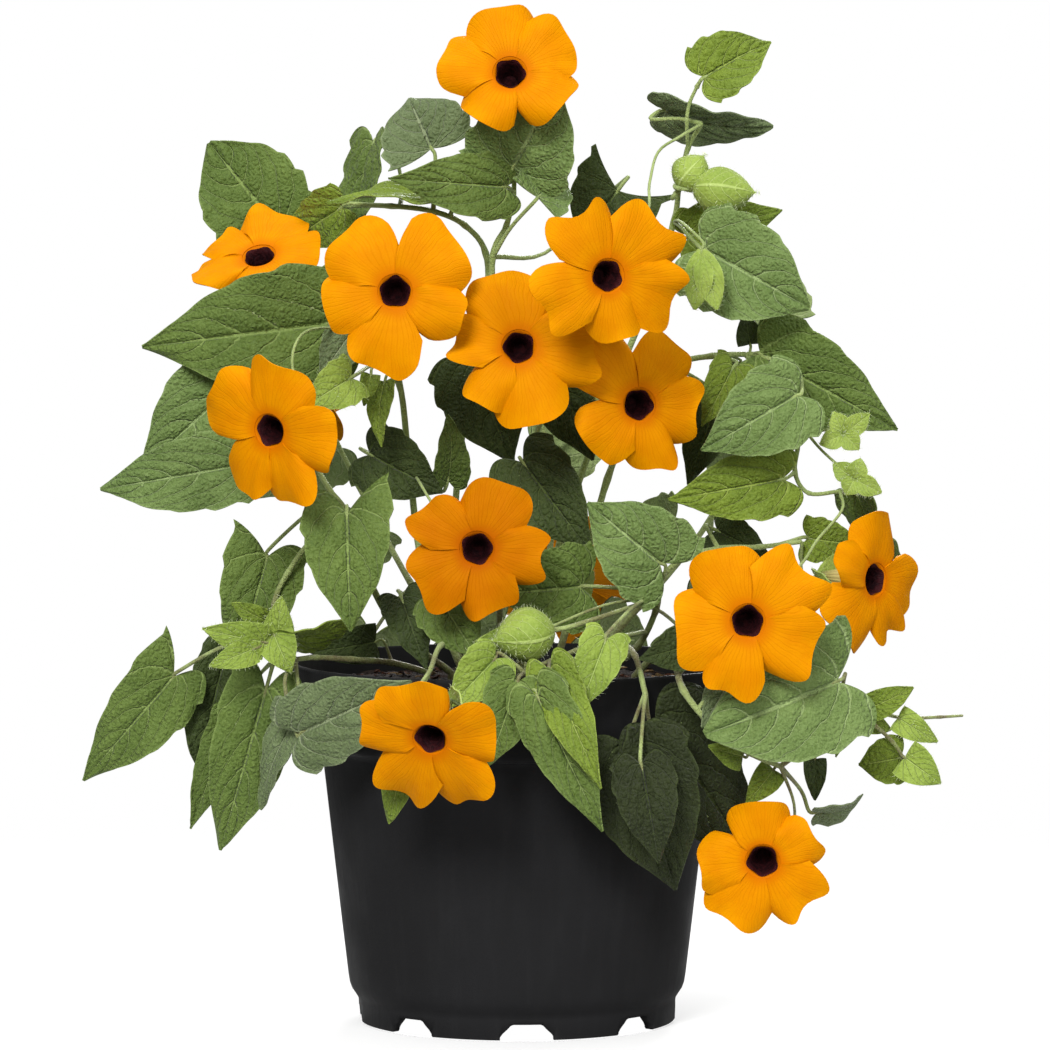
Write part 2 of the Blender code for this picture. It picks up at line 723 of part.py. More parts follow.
# Blooms, from the top of the plant down its front, then two behind
BLOOMS = [
    Bloom(1, (-2, 272.5, -24), 0, 20,
          [(35, 20, 20), (100, 20, 20), (165, 20.5, 18), (235, 17, 15), (332, 19, 16)]),
    Bloom(2, (-74, 220, 2), -15, 52,
          [(15, 18, 16), (85, 22, 20), (150, 19, 15), (205, 20, 13), (290, 18, 16)]),
    Bloom(3, (-35, 210, -58), 2, 5,
          [(38, 23, 22), (135, 22, 20), (192, 21, 17), (258, 23, 20), (338, 20, 15)]),
    Bloom(4, (-71, 170, -62), -32, -8,
          [(75, 20, 21), (148, 22.5, 19), (240, 21, 13), (287, 22, 17), (350, 22, 18)]),
    Bloom(5, (0.5, 194, -50), 0, 8,
          [(108, 21.5, 21), (172, 20, 14), (236, 20, 14), (283, 22, 21), (358, 22, 20)]),
    Bloom(6, (26, 214.5, -68), 22, 0,
          [(42, 24, 22), (118, 21, 20), (208, 22, 17), (283, 18, 16), (340, 23, 20)]),
    Bloom(7, (35, 177.5, -36), 20, 0,
          [(57, 21, 18), (125, 23, 15), (222, 19.5, 17), (286, 19.5, 15), (352, 19.5, 19)]),
    Bloom(8, (-11.5, 136, -62), 0, 4,
          [(65, 20, 19), (145, 20, 15), (215, 21, 19), (285, 19.5, 16), (352, 20, 16)]),
    Bloom(9, (66.5, 115, -84), 3, 2,
          [(42, 23, 21), (112, 21, 20), (190, 21, 22), (252, 22.5, 13), (335, 22, 20)]),
    Bloom(10, (103, 127, -35), 50, 0,
          [(85, 19, 20), (155, 18, 13), (225, 22, 21), (300, 20, 12), (343, 20, 14)]),
    Bloom(11, (-25, 81, -96), -15, -28,
          [(3, 19, 18), (112, 18.5, 19), (172, 20.5, 15), (238, 23.5, 18), (296, 24, 18)]),
    Bloom(12, (71, 45.5, -68), -3, -6,
          [(26, 17, 15), (93, 17.5, 16), (190, 18, 16), (240, 21, 19), (316, 19, 18)]),
    Bloom(13, (-66, 180, 88), 200, 8,
          [(20, 20, 18), (92, 21, 18), (164, 20, 18), (236, 21, 18), (308, 20, 18)]),
    Bloom(14, (14, 127, 102.5), 180, -5,
          [(30, 20, 18), (102, 20, 18), (174, 20, 18), (246, 21, 18), (318, 20, 18)]),
]
bloom = {each.number: each for each in BLOOMS}


def green(name, lightness):
    """Leaf green for one stem."""
    return principled(name + "_green", (0.13 * lightness, 0.21 * lightness, 0.07), 0.6)


stems = []


def leafy_stem(name, lightness=1.0):
    """A new leafy stem in the list of stems."""
    stem = LeafyStem(name, green(name, lightness))
    stems.append(stem)
    return stem


# Crown: the tallest stem, with the top bloom
crown = leafy_stem("stem_crown")
crown.stem([(1, 98.5, 4), (2, 130, 8), (-2, 165, 12), (-6, 200, 8), (-7, 220, 2), (-3, 229, 0),
            (-1, 238, -1), (-1, 247, -2), (-2, 257, -3)], 1.7, 1.0)
crown.holds(8, bloom[1], spin=20)
crown.holds(2.8, bloom[5])
crown.leaf(7, (-1, 246, -8), (12.5, 271, -21), 34, lobe=0.12, ear=(0.1, 0.1))
crown.leaf(6, (-4, 240, -6), (-37.5, 242.5, -14), 21, taper=1.15)
crown.small_leaf(4, (6, 237, -10), (11, 243, 6), 19, ear=(0.25, 0.3))
crown.leaf(4, (29, 239, 14), (18, 224, 18), 28, ear=(0.45, 0.4),
           via=[(8, 221, 18), (24, 236, 26)])
crown.leaf(2.5, (-12, 189, 8), (-1, 160, 2), 30, roll=10)

# Arch: rises behind the crown and bends over to the left
arch = leafy_stem("stem_arch")
arch.stem([(-12, 98.5, 12), (-18, 135, 24), (-15, 175, 28), (-9, 206, 19), (-9, 221, 10),
           (-15, 229, 5), (-24, 233, 3), (-36, 234.5, 4), (-48, 234.5, 14), (-57, 232, 26),
           (-65, 229, 33)], 1.6, 1.0)
arch.leaf(6, (-24.5, 251, 6), (-31, 265.5, 16), 29, lobe=0.12, ear=(0.12, 0.05))
arch.leaf(5.5, (-20, 236, 1), (-55, 235.5, -3), 20, roll=75)
arch.leaf(6.8, (-41, 252, 26), (-45.5, 220, 24), 26, roll=62,
          via=[(-33, 241, 14), (-36, 252, 22)])
arch.leaf(7.2, (-50.5, 234, 10), (-66, 224, 30), 17.5, ear=(0.12, 0.12))
arch.leaf(10, (-70, 230, 34), (-88.5, 253, 38), 32, taper=0.85)

# Upper left
upper_left = leafy_stem("stem_upper_left")
upper_left.stem([(-16, 98.5, 0), (-27, 130, 6), (-31, 160, 6), (-34, 184, 0), (-41, 190, -4),
                 (-49, 196, -2), (-58, 198, 8)], 1.7, 1.1)
upper_left.holds(3.3, bloom[3])
upper_left.holds(6, bloom[2], via=[(-66, 197, 18)])
upper_left.holds(5, bloom[4], via=[(-54, 199.5, -22), (-62, 197.5, -34), (-64.5, 188, -40)])
upper_left.holds(2, bloom[8], via=[(-28, 155, -18), (-23, 147, -30)])
upper_left.leaf(5, (-53, 201, -13), (-108.5, 194, -8), 38, lobe=0.12, bend=3)
upper_left.leaf(5, (-78, 186, -4), (-109, 158, -1), 32, via=[(-62, 192, 2)])
upper_left.small_leaf(4, (-47, 199, -16), (-57, 185, -20), 15)
upper_left.small_leaf(3.5, (-48, 185, -32), (-61, 177, -34), 15)
upper_left.small_leaf(3.2, (-38, 184, -20), (-39, 165, -26), 9, roll=30)
upper_left.small_leaf(3.3, (-42, 186, -22), (-44, 177, -24), 6)
upper_left.small_leaf(2, (-20, 156, -4), (-20, 175, -6), 13, roll=30)
upper_left.leaf(1.8, (-42, 163, -8), (-21, 152, -12), 22)

# Lower left, which carries the cluster beside the pot
lower_left = leafy_stem("stem_lower_left")
lower_left.stem([(-19, 98.5, -10), (-34, 112, -22), (-44, 130, -30), (-49, 146, -34),
                 (-54, 153, -34), (-58, 160, -30)], 1.7, 1.1)
lower_left.stem([(-58, 139, -30), (-66, 129, -27), (-70, 120, -27), (-69, 111, -30),
                 (-70, 104, -28)], 1.3, 1.0, start=(0, 2.6))
lower_left.leaf(3, (-49, 146, -50), (-48, 111.5, -58), 27, lobe=0.2, ear=(0.33, 0.1))
lower_left.leaf(3.6, (-72, 133.5, -22), (-81, 101, -24), 25, ear=(0.08, 0.24))
lower_left.leaf(5, (-80, 160, -20), (-120.5, 153, -14), 23, taper=0.95)
lower_left.leaf((1, 5), (-72.5, 95, -28), (-86, 48, -22), 24, ear=(0.02, 0.14), taper=0.95)
lower_left.leaf((1, 4), (-99, 99, -14), (-125.5, 68.5, -6), 24, ear=(0.0, 0.25),
                via=[(-84, 108, -26)])
lower_left.leaf((1, 4.4), (-84, 106, -8), (-92, 73, -8), 15, taper=0.6)
lower_left.small_leaf((1, 5), (-83, 85, -13), (-94.5, 54.5, -11), 13)
lower_left.small_leaf((1, 4), (-73, 109, -38), (-91, 113, -42), 11)
lower_left.small_leaf((1, 4), (-76, 107, -40), (-89, 102, -43), 9)
lower_left.small_leaf((1, 4), (-69, 109, -34), (-68, 122.5, -36), 10)
lower_left.small_leaf((1, 3.6), (-70, 111, -36), (-65, 100, -38), 12)
lower_left.small_leaf((1, 3.4), (-72, 115, -33), (-82.5, 120.5, -33), 7)

# A second stem of the lower left runs low over the compost and out over the rim
lower_left.stem([(-26, 98.5, -8), (-36, 103, -14), (-48, 104, -20), (-58, 104.5, -24),
                 (-64, 104, -30)], 1.5, 1.1)
lower_left.leaf((2, 4), (-62, 83, -46), (-30, 98, -62), 26, via=[(-67, 97, -40)])
lower_left.small_leaf((2, 4), (-65, 111, -30), (-46, 117, -36), 18, roll=60)
lower_left.small_leaf((2, 1), (-41, 109, -12), (-60, 106, -18), 12)
lower_left.leaf((2, 4), (-64, 86, -38), (-74, 60, -32), 14, roll=50, cells=(2, 3))

# Front left over the rim
front_left = leafy_stem("stem_front_left")
front_left.stem([(-11, 98.5, -26), (-17, 108, -38), (-22, 108, -52), (-25, 101, -64)], 1.5, 1.1)
front_left.holds(3, bloom[11], via=[(-29, 94, -74)])
front_left.small_leaf(3, (-32, 80, -74), (-37, 56, -72), 12)
front_left.leaf(1.5, (-22, 121, -44), (-10.5, 103.5, -52), 19)
front_left.small_leaf(1, (-33, 121, -34), (-26, 101, -42), 14)

# Front, with the young hairy leaves and buds
front = leafy_stem("stem_front")
front.stem([(26, 98.5, -8), (35, 108, -24), (40, 118, -36), (41, 124, -40)], 1.6, 1.2)
front.stem([(28, 110, -46), (17, 106.5, -58), (5, 101.5, -64), (-3, 97, -68)], 1.2, 0.9,
           start=(0, 1.4))
front.leaf(3, (41, 132, -46), (20, 149.5, -46), 29, lobe=0.25, ear=(0.2, 0.2))
front.leaf(2.5, (18, 125, -38), (-7, 123, -40), 27, lobe=0.2, ear=(0.15, 0.15))
front.closed_bud(2.6, (10, 112.5, -58), (-8, 109, -64), 15)
front.small_leaf(2.6, (3, 111, -56), (-12.5, 109, -58), 9)
front.leaf(2.8, (25.5, 109.5, -66), (17.5, 88.5, -70), 14.5, ear=(0.12, 0.1))
front.leaf((1, 3.3), (-6.5, 104, -67), (-20, 90, -70), 17, fold=22)
front.leaf((1, 3.3), (0, 97, -71), (-8.5, 72.5, -73), 17)
front.leaf((1, 2.6), (10, 100, -70), (24.5, 66, -86), 15)
front.leaf((1, 4), (6, 93, -74), (25, 53.5, -80), 19)

# Front right over the rim, with the large dark leaves on the pot
front_right = leafy_stem("stem_front_right", 0.7)
front_right.stem([(22, 98.5, -26), (30, 107, -40), (34, 105, -52), (37, 94, -60)], 1.6, 1.2)
front_right.leaf(3, (40, 84, -59), (66, 45, -42), 36, roll=-28, bend=4)
front_right.leaf(3, (33, 78, -66), (46, 36.5, -64), 34, bend=3)
front_right.leaf(3, (36, 73, -76), (41, 44.5, -78), 19)

# Lower right, behind the big veined leaf, with the lowest bloom
lower_right = leafy_stem("stem_lower_right")
lower_right.stem([(34, 98.5, -20), (41, 106, -32), (45, 105, -50), (48, 95, -66), (57, 84, -68),
                  (67, 77, -66), (76, 73, -60)], 1.7, 1.2)
lower_right.stem([(86, 81, -54), (97, 89, -52), (104, 88.5, -48), (112, 87, -42),
                  (122, 87.3, -34), (128.5, 87.7, -28)], 1.2, 0.6, start=(0, 6))
lower_right.stem([(103, 85, -50), (108.5, 80, -48), (111.5, 75.5, -47)], 0.9, 0.8, start=(1, 2))
lower_right.leaf(6, (92, 97.5, -66), (53.5, 82, -76), 35, taper=0.8, lobe=0.18,
                 ear=(0.1, 0.2), bend=3, via=[(90, 84, -58)])
lower_right.leaf(2.6, (52, 109, -60), (35, 104, -64), 15)
lower_right.small_leaf(3.5, (62, 99, -58), (53, 84, -70), 14)
lower_right.small_leaf(5, (65, 76, -63), (55, 79, -67), 9)
lower_right.small_leaf((1, 2.5), (102, 90, -48), (114.5, 96, -48), 9)
lower_right.small_leaf((1, 3.6), (110, 87, -46), (121.5, 80, -46), 8.5)
lower_right.small_leaf((2, 3), (112, 75.5, -49), (122.5, 68, -50), 12)
lower_right.small_leaf((2, 3), (110.5, 75.5, -44), (98.5, 73.5, -41), 15)
lower_right.small_leaf((1, 2), (99, 87, -46), (108, 83.5, -44), 7)
lower_right.small_leaf((1, 2), (99, 86, -50), (92, 75.5, -52), 8, roll=60)
lower_right.small_leaf(6, (86, 75, -46), (86, 63, -46), 7)
lower_right.small_leaf(6, (87, 60, -44), (100, 65, -42), 16, roll=65, via=[(82, 66, -46)])
lower_right.small_leaf(6, (74, 72, -56), (66, 62, -56), 9)
lower_right.holds(6, bloom[12], via=[(80, 62, -50), (79, 53, -44)])

# Middle right
middle_right = leafy_stem("stem_middle_right")
middle_right.stem([(20, 98.5, 0), (34, 118, -2), (46, 132, -8), (58, 136, -12),
                   (70, 136.5, -14), (82, 138, -16)], 1.5, 1.0)
middle_right.small_leaf(4.5, (84, 139, -12), (99, 137, -8), 14)
middle_right.small_leaf(3, (58, 141, -6), (73, 134, -8), 14)
middle_right.holds(5, bloom[10], via=[(82, 130, -14)])

# Upper right
upper_right = leafy_stem("stem_upper_right")
upper_right.stem([(11, 98.5, 8), (19, 130, 8), (26, 156, 2), (33, 172, 2), (45, 188, -2),
                  (56, 191.5, -6), (68, 192, -10)], 1.7, 1.2)
upper_right.stem([(79, 178, -16), (81, 168, -18), (80, 158, -18), (84, 152, -20),
                  (93, 152.5, -24)], 1.2, 0.9, start=(0, 5.8))
upper_right.holds(3, bloom[7], via=[(27, 176, -8)])
upper_right.holds((1, 5), bloom[9], via=[(93.5, 147, -28), (86.5, 138.5, -38), (80.5, 130, -48)])
upper_right.leaf(6, (70, 192, -12), (110, 170, -10), 30, lobe=0.1, ear=(0.1, 0.1), bend=4)
upper_right.leaf(6, (80, 180, -32), (52.5, 164, -36), 27, via=[(80, 188, -20)])
upper_right.leaf((1, 3), (76, 156, -22), (43, 150, -28), 22)
upper_right.small_leaf(4, (57, 178, -2), (49, 154, -6), 16)
upper_right.small_leaf(5, (62, 188, -14), (53, 171, -18), 13)
upper_right.small_leaf(5.4, (63, 189, -3), (55, 181, -3), 10)
upper_right.small_leaf(5.9, (67, 195, -8), (65.5, 204, -7), 8)
upper_right.calyx((1, 2), (94, 169, -26),
                  [(87, 166, -27), (91, 175.5, -27), (101.5, 175, -28), (98.5, 164.5, -28)], 6.5)
upper_right.calyx((1, 1.5), (97, 156, -28),
                  [(91, 160.5, -28), (99, 162, -29), (105, 152, -30), (94.5, 151.5, -29)], 6.5,
                  via=[(88, 164, -22)])
upper_right.small_leaf((1, 5), (98.5, 151, -10), (112, 132, -4), 18, roll=60)

# Top right
top_right = leafy_stem("stem_top_right")
top_right.stem([(5, 98.5, 16), (13, 140, 22), (26, 178, 22), (38, 208, 14), (45, 230, 4),
                (46.5, 240, -2), (49, 251, -4), (53, 258, -6)], 1.7, 1.0)
top_right.stem([(48.7, 259, -9), (49.5, 264, -10), (51.5, 268.5, -11)], 0.9, 0.8, start=(0, 6))
top_right.leaf((1, 3), (54, 271.5, -13), (73, 281.5, -8), 21, fold=16, roll=-14)
top_right.leaf(7, (43, 262, 2), (74, 257.5, -4), 22, roll=58, ear=(0.1, 0.1), taper=0.9)
top_right.closed_bud(5, (47, 240, -14), (54, 249.5, -18), 11)
top_right.closed_bud(5.2, (51, 239.5, -18), (69.5, 238.3, -22), 13)
top_right.holds(7, bloom[6],
                via=[(47, 254.5, -12), (40.5, 250, -20), (38, 241, -28), (36, 230, -40)])
top_right.leaf(4, (54, 222, -22), (84.5, 205, -26), 31, taper=0.9, via=[(47, 228.5, -16)])
top_right.leaf(3.8, (50, 226, 0), (76.5, 233.5, 0), 18)
top_right.calyx(4, (53, 222, -34), [(51, 204.5, -36), (57.5, 204.5, -36)], 9,
                via=[(47, 230, -24)])

# Centre, low and behind the front blooms
centre = leafy_stem("stem_centre", 0.7)
centre.stem([(-4, 98.5, -8), (-5, 125, -14), (-1, 148, -10), (2, 160, -6), (8, 176, -4), (10, 190, 2)],
            1.5, 1.0)
centre.leaf(3, (2, 160.5, -14), (22, 134, -22), 24)
centre.leaf(5, (11, 188, 6), (22, 161, 2), 24)

# Three stems at the back
back_left = leafy_stem("stem_back_left")
back_left.stem([(-14, 98.5, 24), (-30, 125, 40), (-46, 155, 54), (-58, 180, 58),
                (-64, 200, 52)], 1.6, 1.0)
back_left.leaf(3, (-72, 185, 50), (-98, 170, 62), 26, roll=180)
back_left.leaf(2.5, (-54, 165, 70), (-76, 150, 92), 24, roll=180)
back_left.small_leaf(4, (-62, 207, 60), (-84, 200, 74), 24, roll=180)
back_left.small_leaf(1.5, (-44, 140, 58), (-55, 122, 80), 22, roll=180)
back_left.small_leaf(1, (-42, 110, 62), (-50, 80, 86), 22, roll=180)
back_left.holds(3, bloom[13])

back_middle = leafy_stem("stem_back_middle")
back_middle.stem([(2, 98.5, 30), (8, 125, 52), (10, 150, 64), (6, 180, 62), (2, 205, 50)],
                 1.6, 1.0)
back_middle.leaf(2.5, (12, 165, 76), (30, 180, 98), 26, roll=180)
back_middle.small_leaf(3, (0, 182, 74), (-12, 200, 92), 20, roll=180)
back_middle.small_leaf(1, (-4, 115, 70), (-24, 108, 94), 24, roll=180)
back_middle.small_leaf(1, (24, 112, 72), (40, 100, 96), 24, roll=180)
back_middle.leaf(1, (2, 104, 70), (4, 72, 92), 24, roll=180)
back_middle.holds(1.4, bloom[14])
back_middle.leaf(3.5, (10, 206, 62), (30, 196, 80), 24, roll=180)

back_right = leafy_stem("stem_back_right")
back_right.stem([(16, 98.5, 22), (36, 120, 38), (56, 145, 50), (68, 170, 52), (74, 196, 44)],
                1.6, 1.0)
back_right.leaf(4, (76, 190, 58), (98, 182, 72), 24, roll=180)
back_right.small_leaf(3, (64, 165, 62), (66, 146, 84), 24, roll=180)
back_right.small_leaf(4, (74, 205, 50), (70, 224, 66), 24, roll=180)
back_right.leaf(2, (58, 130, 60), (76, 116, 82), 26, roll=180)
back_right.small_leaf(1, (50, 110, 58), (64, 88, 80), 24, roll=180)
back_right.small_leaf(1.6, (44, 142, 66), (28, 140, 90), 22, roll=180)

for stem in stems:
    stem.join()
petal_orange = principled("petal_orange", (0.90, 0.36, 0.0), 0.55)
throat_purple = principled("throat_purple", (0.02, 0.004, 0.008), 0.7)
for each in BLOOMS:
    corolla(each, petal_orange)
    eye(each, throat_purple)
build_soil(stems, principled("compost_brown", (0.025, 0.014, 0.009), 0.95))
build_pot(principled("pot_black", (0.013, 0.013, 0.014), 0.5))
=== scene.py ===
import math
import random

import bmesh
import bpy
from mathutils import Matrix, Vector, noise


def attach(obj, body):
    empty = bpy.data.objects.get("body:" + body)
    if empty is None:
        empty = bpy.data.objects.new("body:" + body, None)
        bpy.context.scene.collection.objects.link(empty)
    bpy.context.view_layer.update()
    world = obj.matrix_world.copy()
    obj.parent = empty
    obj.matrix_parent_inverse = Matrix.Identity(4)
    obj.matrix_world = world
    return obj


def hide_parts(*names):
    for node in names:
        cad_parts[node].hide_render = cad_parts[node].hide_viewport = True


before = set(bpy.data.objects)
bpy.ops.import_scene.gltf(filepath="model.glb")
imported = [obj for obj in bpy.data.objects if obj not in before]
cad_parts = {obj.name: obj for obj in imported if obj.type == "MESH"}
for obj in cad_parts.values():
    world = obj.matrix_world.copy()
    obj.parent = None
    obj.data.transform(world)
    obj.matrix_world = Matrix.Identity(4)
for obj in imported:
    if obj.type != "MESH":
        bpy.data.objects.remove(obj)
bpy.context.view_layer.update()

# The pot is a thin nursery pot blown or moulded in one go from black polypropylene.
# A flared rim band sits over a tapering body, and a narrow ring with arched notches carries it.
# It stands on the ground plane with its axis on Z, and everything else grows out of it.
MM = 0.001


def paint(red, green, blue):
    """A finish's colour from its display values, 0 to 255."""
    def linear(value):
        return ((value / 255 + 0.055) / 1.055) ** 2.4 if value > 10 else value / 3294.6
    return (linear(red), linear(green), linear(blue), 1.0)


def put(tree, kind, *inputs, **settings):
    """A node with its settings; its inputs, in order, are numbers, colours or other outputs."""
    made = tree.nodes.new("ShaderNode" + kind)
    for key, value in settings.items():
        setattr(made, key, value)
    for socket, value in zip(made.inputs, inputs):
        if isinstance(value, bpy.types.NodeSocket):
            tree.links.new(value, socket)
        elif value is not None:
            socket.default_value = value
    return made


def sums(tree, operation, *inputs):
    """The result of one sum."""
    return put(tree, "Math", *inputs, operation=operation).outputs[0]


def fade(tree, value, start, end, low=0.0, high=1.0):
    """A value that goes smoothly from low to high between start and end."""
    return put(tree, "MapRange", value, start, end, low, high,
               interpolation_type="SMOOTHSTEP").outputs[0]


def tint(tree, share, first, second):
    """A share of the second colour laid over the first."""
    made = tree.nodes.new("ShaderNodeMix")
    made.data_type = "RGBA"
    for index, value in ((0, share), (6, first), (7, second)):
        if isinstance(value, bpy.types.NodeSocket):
            tree.links.new(value, made.inputs[index])
        else:
            made.inputs[index].default_value = value
    return made.outputs[2]


def shared(name, inputs, outputs):
    """An empty shader group with its sockets, and its two end nodes."""
    group = bpy.data.node_groups.new(name, "ShaderNodeTree")
    for title, kind, value in inputs:
        socket = group.interface.new_socket(title, in_out="INPUT", socket_type=kind)
        if value is not None:
            socket.default_value = value
    for title, kind in outputs:
        group.interface.new_socket(title, in_out="OUTPUT", socket_type=kind)
    return group, group.nodes.new("NodeGroupInput"), group.nodes.new("NodeGroupOutput")


def placed(tree, group, **inputs):
    """A shared group in a material, with its own values."""
    made = tree.nodes.new("ShaderNodeGroup")
    made.node_tree = group
    for key, value in inputs.items():
        if isinstance(value, bpy.types.NodeSocket):
            tree.links.new(value, made.inputs[key])
        else:
            made.inputs[key].default_value = value
    return made


def finish(name, roughness=0.5, specular=0.5):
    """A new material with its Principled shader."""
    material = bpy.data.materials.new(name)
    material.use_nodes = True
    tree = material.node_tree
    shader = tree.nodes["Principled BSDF"]
    shader.inputs["Roughness"].default_value = roughness
    shader.inputs["Specular IOR Level"].default_value = specular
    return material, tree, shader


def dress(tree, shader, colour, roughness=None):
    """Give the shader its colour, and its roughness where that changes over the surface."""
    tree.links.new(colour, shader.inputs["Base Color"])
    if roughness is not None:
        tree.links.new(roughness, shader.inputs["Roughness"])


def relief(tree, shader, height, depth):
    """Fine relief on a surface, its depth in metres."""
    bump = put(tree, "Bump")
    bump.inputs["Strength"].default_value = 1.0
    bump.inputs["Distance"].default_value = depth
    tree.links.new(height, bump.inputs["Height"])
    tree.links.new(bump.outputs[0], shader.inputs["Normal"])


# Mottle: soft cloudy change over a surface, at a scale in features per metre
mottle, ends_in, ends_out = shared(
    "mottle", [("Scale", "NodeSocketFloat", 100.0), ("Detail", "NodeSocketFloat", 4.0)],
    [("Amount", "NodeSocketFloat")])
cloud = put(mottle, "TexNoise")
mottle.links.new(put(mottle, "TexCoord").outputs["Object"], cloud.inputs["Vector"])
mottle.links.new(ends_in.outputs["Scale"], cloud.inputs["Scale"])
mottle.links.new(ends_in.outputs["Detail"], cloud.inputs["Detail"])
mottle.links.new(fade(mottle, cloud.outputs[0], 0.32, 0.68), ends_out.inputs["Amount"])


def turned(profile, sides):
    """Points and faces of a solid of revolution; (radius, height) pairs run down its outer side."""
    points, rings, faces = [], [], []
    for radius, height in profile:
        if radius == 0.0:
            rings.append([len(points)] * sides)
            points.append(Vector((0.0, 0.0, height)))
            continue
        rings.append(list(range(len(points), len(points) + sides)))
        for side in range(sides):
            angle = math.tau * side / sides
            points.append(Vector((radius * math.cos(angle), radius * math.sin(angle), height)))
    for upper, lower in zip(rings, rings[1:] + rings[:1]):
        if upper[0] == upper[-1] and lower[0] == lower[-1]:
            continue
        for side in range(sides):
            after = (side + 1) % sides
            corners = [upper[side], lower[side], lower[after], upper[after]]
            faces.append(tuple(dict.fromkeys(corners)))
    return points, faces


def solid(name, points, faces, materials, kinds=None, places=None, sharp=40.0):
    """A smooth mesh object from points in millimetres, with a material number for each face and
    a place on the surface for each point."""
    mesh = bpy.data.meshes.new(name)
    mesh.from_pydata([tuple(p * MM for p in point) for point in points], [], faces)
    for material in materials:
        mesh.materials.append(material)
    if kinds:
        mesh.polygons.foreach_set("material_index", kinds)
    if places:
        layer = mesh.uv_layers.new(name="place")
        flat = []
        for loop in mesh.loops:
            flat.extend(places[loop.vertex_index])
        layer.uv.foreach_set("vector", flat)
    mesh.shade_smooth()
    mesh.set_sharp_from_angle(angle=math.radians(sharp))
    item = bpy.data.objects.new(name, mesh)
    bpy.context.scene.collection.objects.link(item)
    return item


def belongs(item, slot, *nodes):
    """The piece moves with the plant and stands for these solids. The slot is not used."""
    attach(item, "root")
    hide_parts(*nodes)


POT_SIDES = 144
FOOT_RADIUS = 45.8
FOOT_WIDTH = 3.2
FLOOR_TOP = 8.4
NOTCHES = 8
NOTCH_TURN = math.radians(3.6)
NOTCH_ARCH = [(7.6, -1.0), (7.6, 0.9), (6.9, 1.9), (5.4, 3.3), (4.6, 4.2), (3.8, 4.5)]
DRAINS = 4
DRAIN_CIRCLE = 27.0
DRAIN_RADIUS = 3.6
DRAIN_SIDES = 24
STREAK_STRETCH = (260.0, 260.0, 9.0)
pot_profile = [
    (63.7, 103.45), (64.3, 103.5), (64.75, 103.3), (65.0, 102.8), (65.0, 102.2), (64.6, 100.4),
    (64.35, 97.5), (63.6, 91.6), (62.9, 85.8), (62.45, 82.0), (62.2, 81.0), (61.7, 80.3),
    (60.6, 79.95), (58.2, 79.75), (57.0, 79.5), (56.5, 78.9), (56.2, 77.6), (55.2, 69.0),
    (52.8, 48.0), (50.5, 28.0), (48.7, 13.0), (48.35, 10.9), (47.8, 9.4), (46.6, 7.6),
    (45.95, 6.5), (45.8, 5.6), (45.8, 0.5), (45.4, 0.0),
    (43.0, 0.0), (42.6, 0.5), (42.6, 6.8), (0.0, 6.8), (0.0, FLOOR_TOP), (46.8, FLOOR_TOP),
    (54.7, 80.1), (60.7, 82.0), (63.3, 102.9),
]
points, faces = turned(pot_profile, POT_SIDES)

plastic, tree, shader = finish("black_plastic", 0.5, 0.03)
streaks = put(tree, "TexNoise")
stretched = put(tree, "Mapping")
tree.links.new(put(tree, "TexCoord").outputs["Object"], stretched.inputs["Vector"])
stretched.inputs["Scale"].default_value = STREAK_STRETCH
tree.links.new(stretched.outputs[0], streaks.inputs["Vector"])
streaks.inputs["Scale"].default_value = 1.0
streaks.inputs["Detail"].default_value = 5.0
dust = placed(tree, mottle, Scale=38.0, Detail=7.0).outputs[0]
grain = placed(tree, mottle, Scale=2600.0, Detail=3.0).outputs[0]
drawn = fade(tree, streaks.outputs[0], 0.45, 0.75)
base = tint(tree, sums(tree, "MULTIPLY", drawn, 0.35), paint(32, 32, 33), paint(39, 39, 40))
base = tint(tree, sums(tree, "MULTIPLY", dust, 0.3), base, paint(25, 25, 25))
# Sharp convex edges of the rim and foot are lightened to grey: painted highlight.
edge = put(tree, "NewGeometry").outputs["Pointiness"]
base = tint(tree, fade(tree, edge, 0.53, 0.62, 0.0, 0.4), base, paint(56, 56, 56))
dress(tree, shader, base, fade(tree, dust, 0.0, 1.0, 0.4, 0.54))
relief(tree, shader, sums(tree, "MULTIPLY_ADD", grain, 0.5, drawn), 0.00004)

pot = solid("nursery_pot", points, faces, [plastic], sharp=50.0)
outline = NOTCH_ARCH + [(-along, height) for along, height in reversed(NOTCH_ARCH)]
count = len(outline)
near, far = FOOT_RADIUS - FOOT_WIDTH - 2.0, FOOT_RADIUS + 3.0
corners = [Vector((radius, along, height)) for radius in (near, far) for along, height in outline]
sides = [tuple(reversed(range(count))), tuple(range(count, 2 * count))]
sides += [(i, (i + 1) % count, (i + 1) % count + count, i + count) for i in range(count)]
cutters = []
for k in range(NOTCHES):
    cutter = solid("notch", corners, sides, [plastic])
    cutter.rotation_euler.z = NOTCH_TURN + math.tau * k / NOTCHES - math.pi / 2
    cutters.append(cutter)
above, below = FLOOR_TOP + 2.0, 3.0
corners, sides = turned([(0.0, above), (DRAIN_RADIUS, above), (DRAIN_RADIUS, below), (0.0, below)],
                        DRAIN_SIDES)
for k in range(DRAINS):
    angle = math.tau * (k + 0.5) / DRAINS
    cutter = solid("drain", corners, sides, [plastic])
    cutter.location = Vector((math.cos(angle), math.sin(angle), 0.0)) * (DRAIN_CIRCLE * MM)
    cutters.append(cutter)
tools = bpy.data.collections.new("cutters")
bpy.context.scene.collection.children.link(tools)
for cutter in cutters:
    bpy.context.scene.collection.objects.unlink(cutter)
    tools.objects.link(cutter)
cut = pot.modifiers.new("cut", "BOOLEAN")
cut.operand_type = "COLLECTION"
cut.collection = tools
cut.solver = "EXACT"
bpy.context.view_layer.update()
done = bpy.data.meshes.new_from_object(pot.evaluated_get(bpy.context.evaluated_depsgraph_get()))
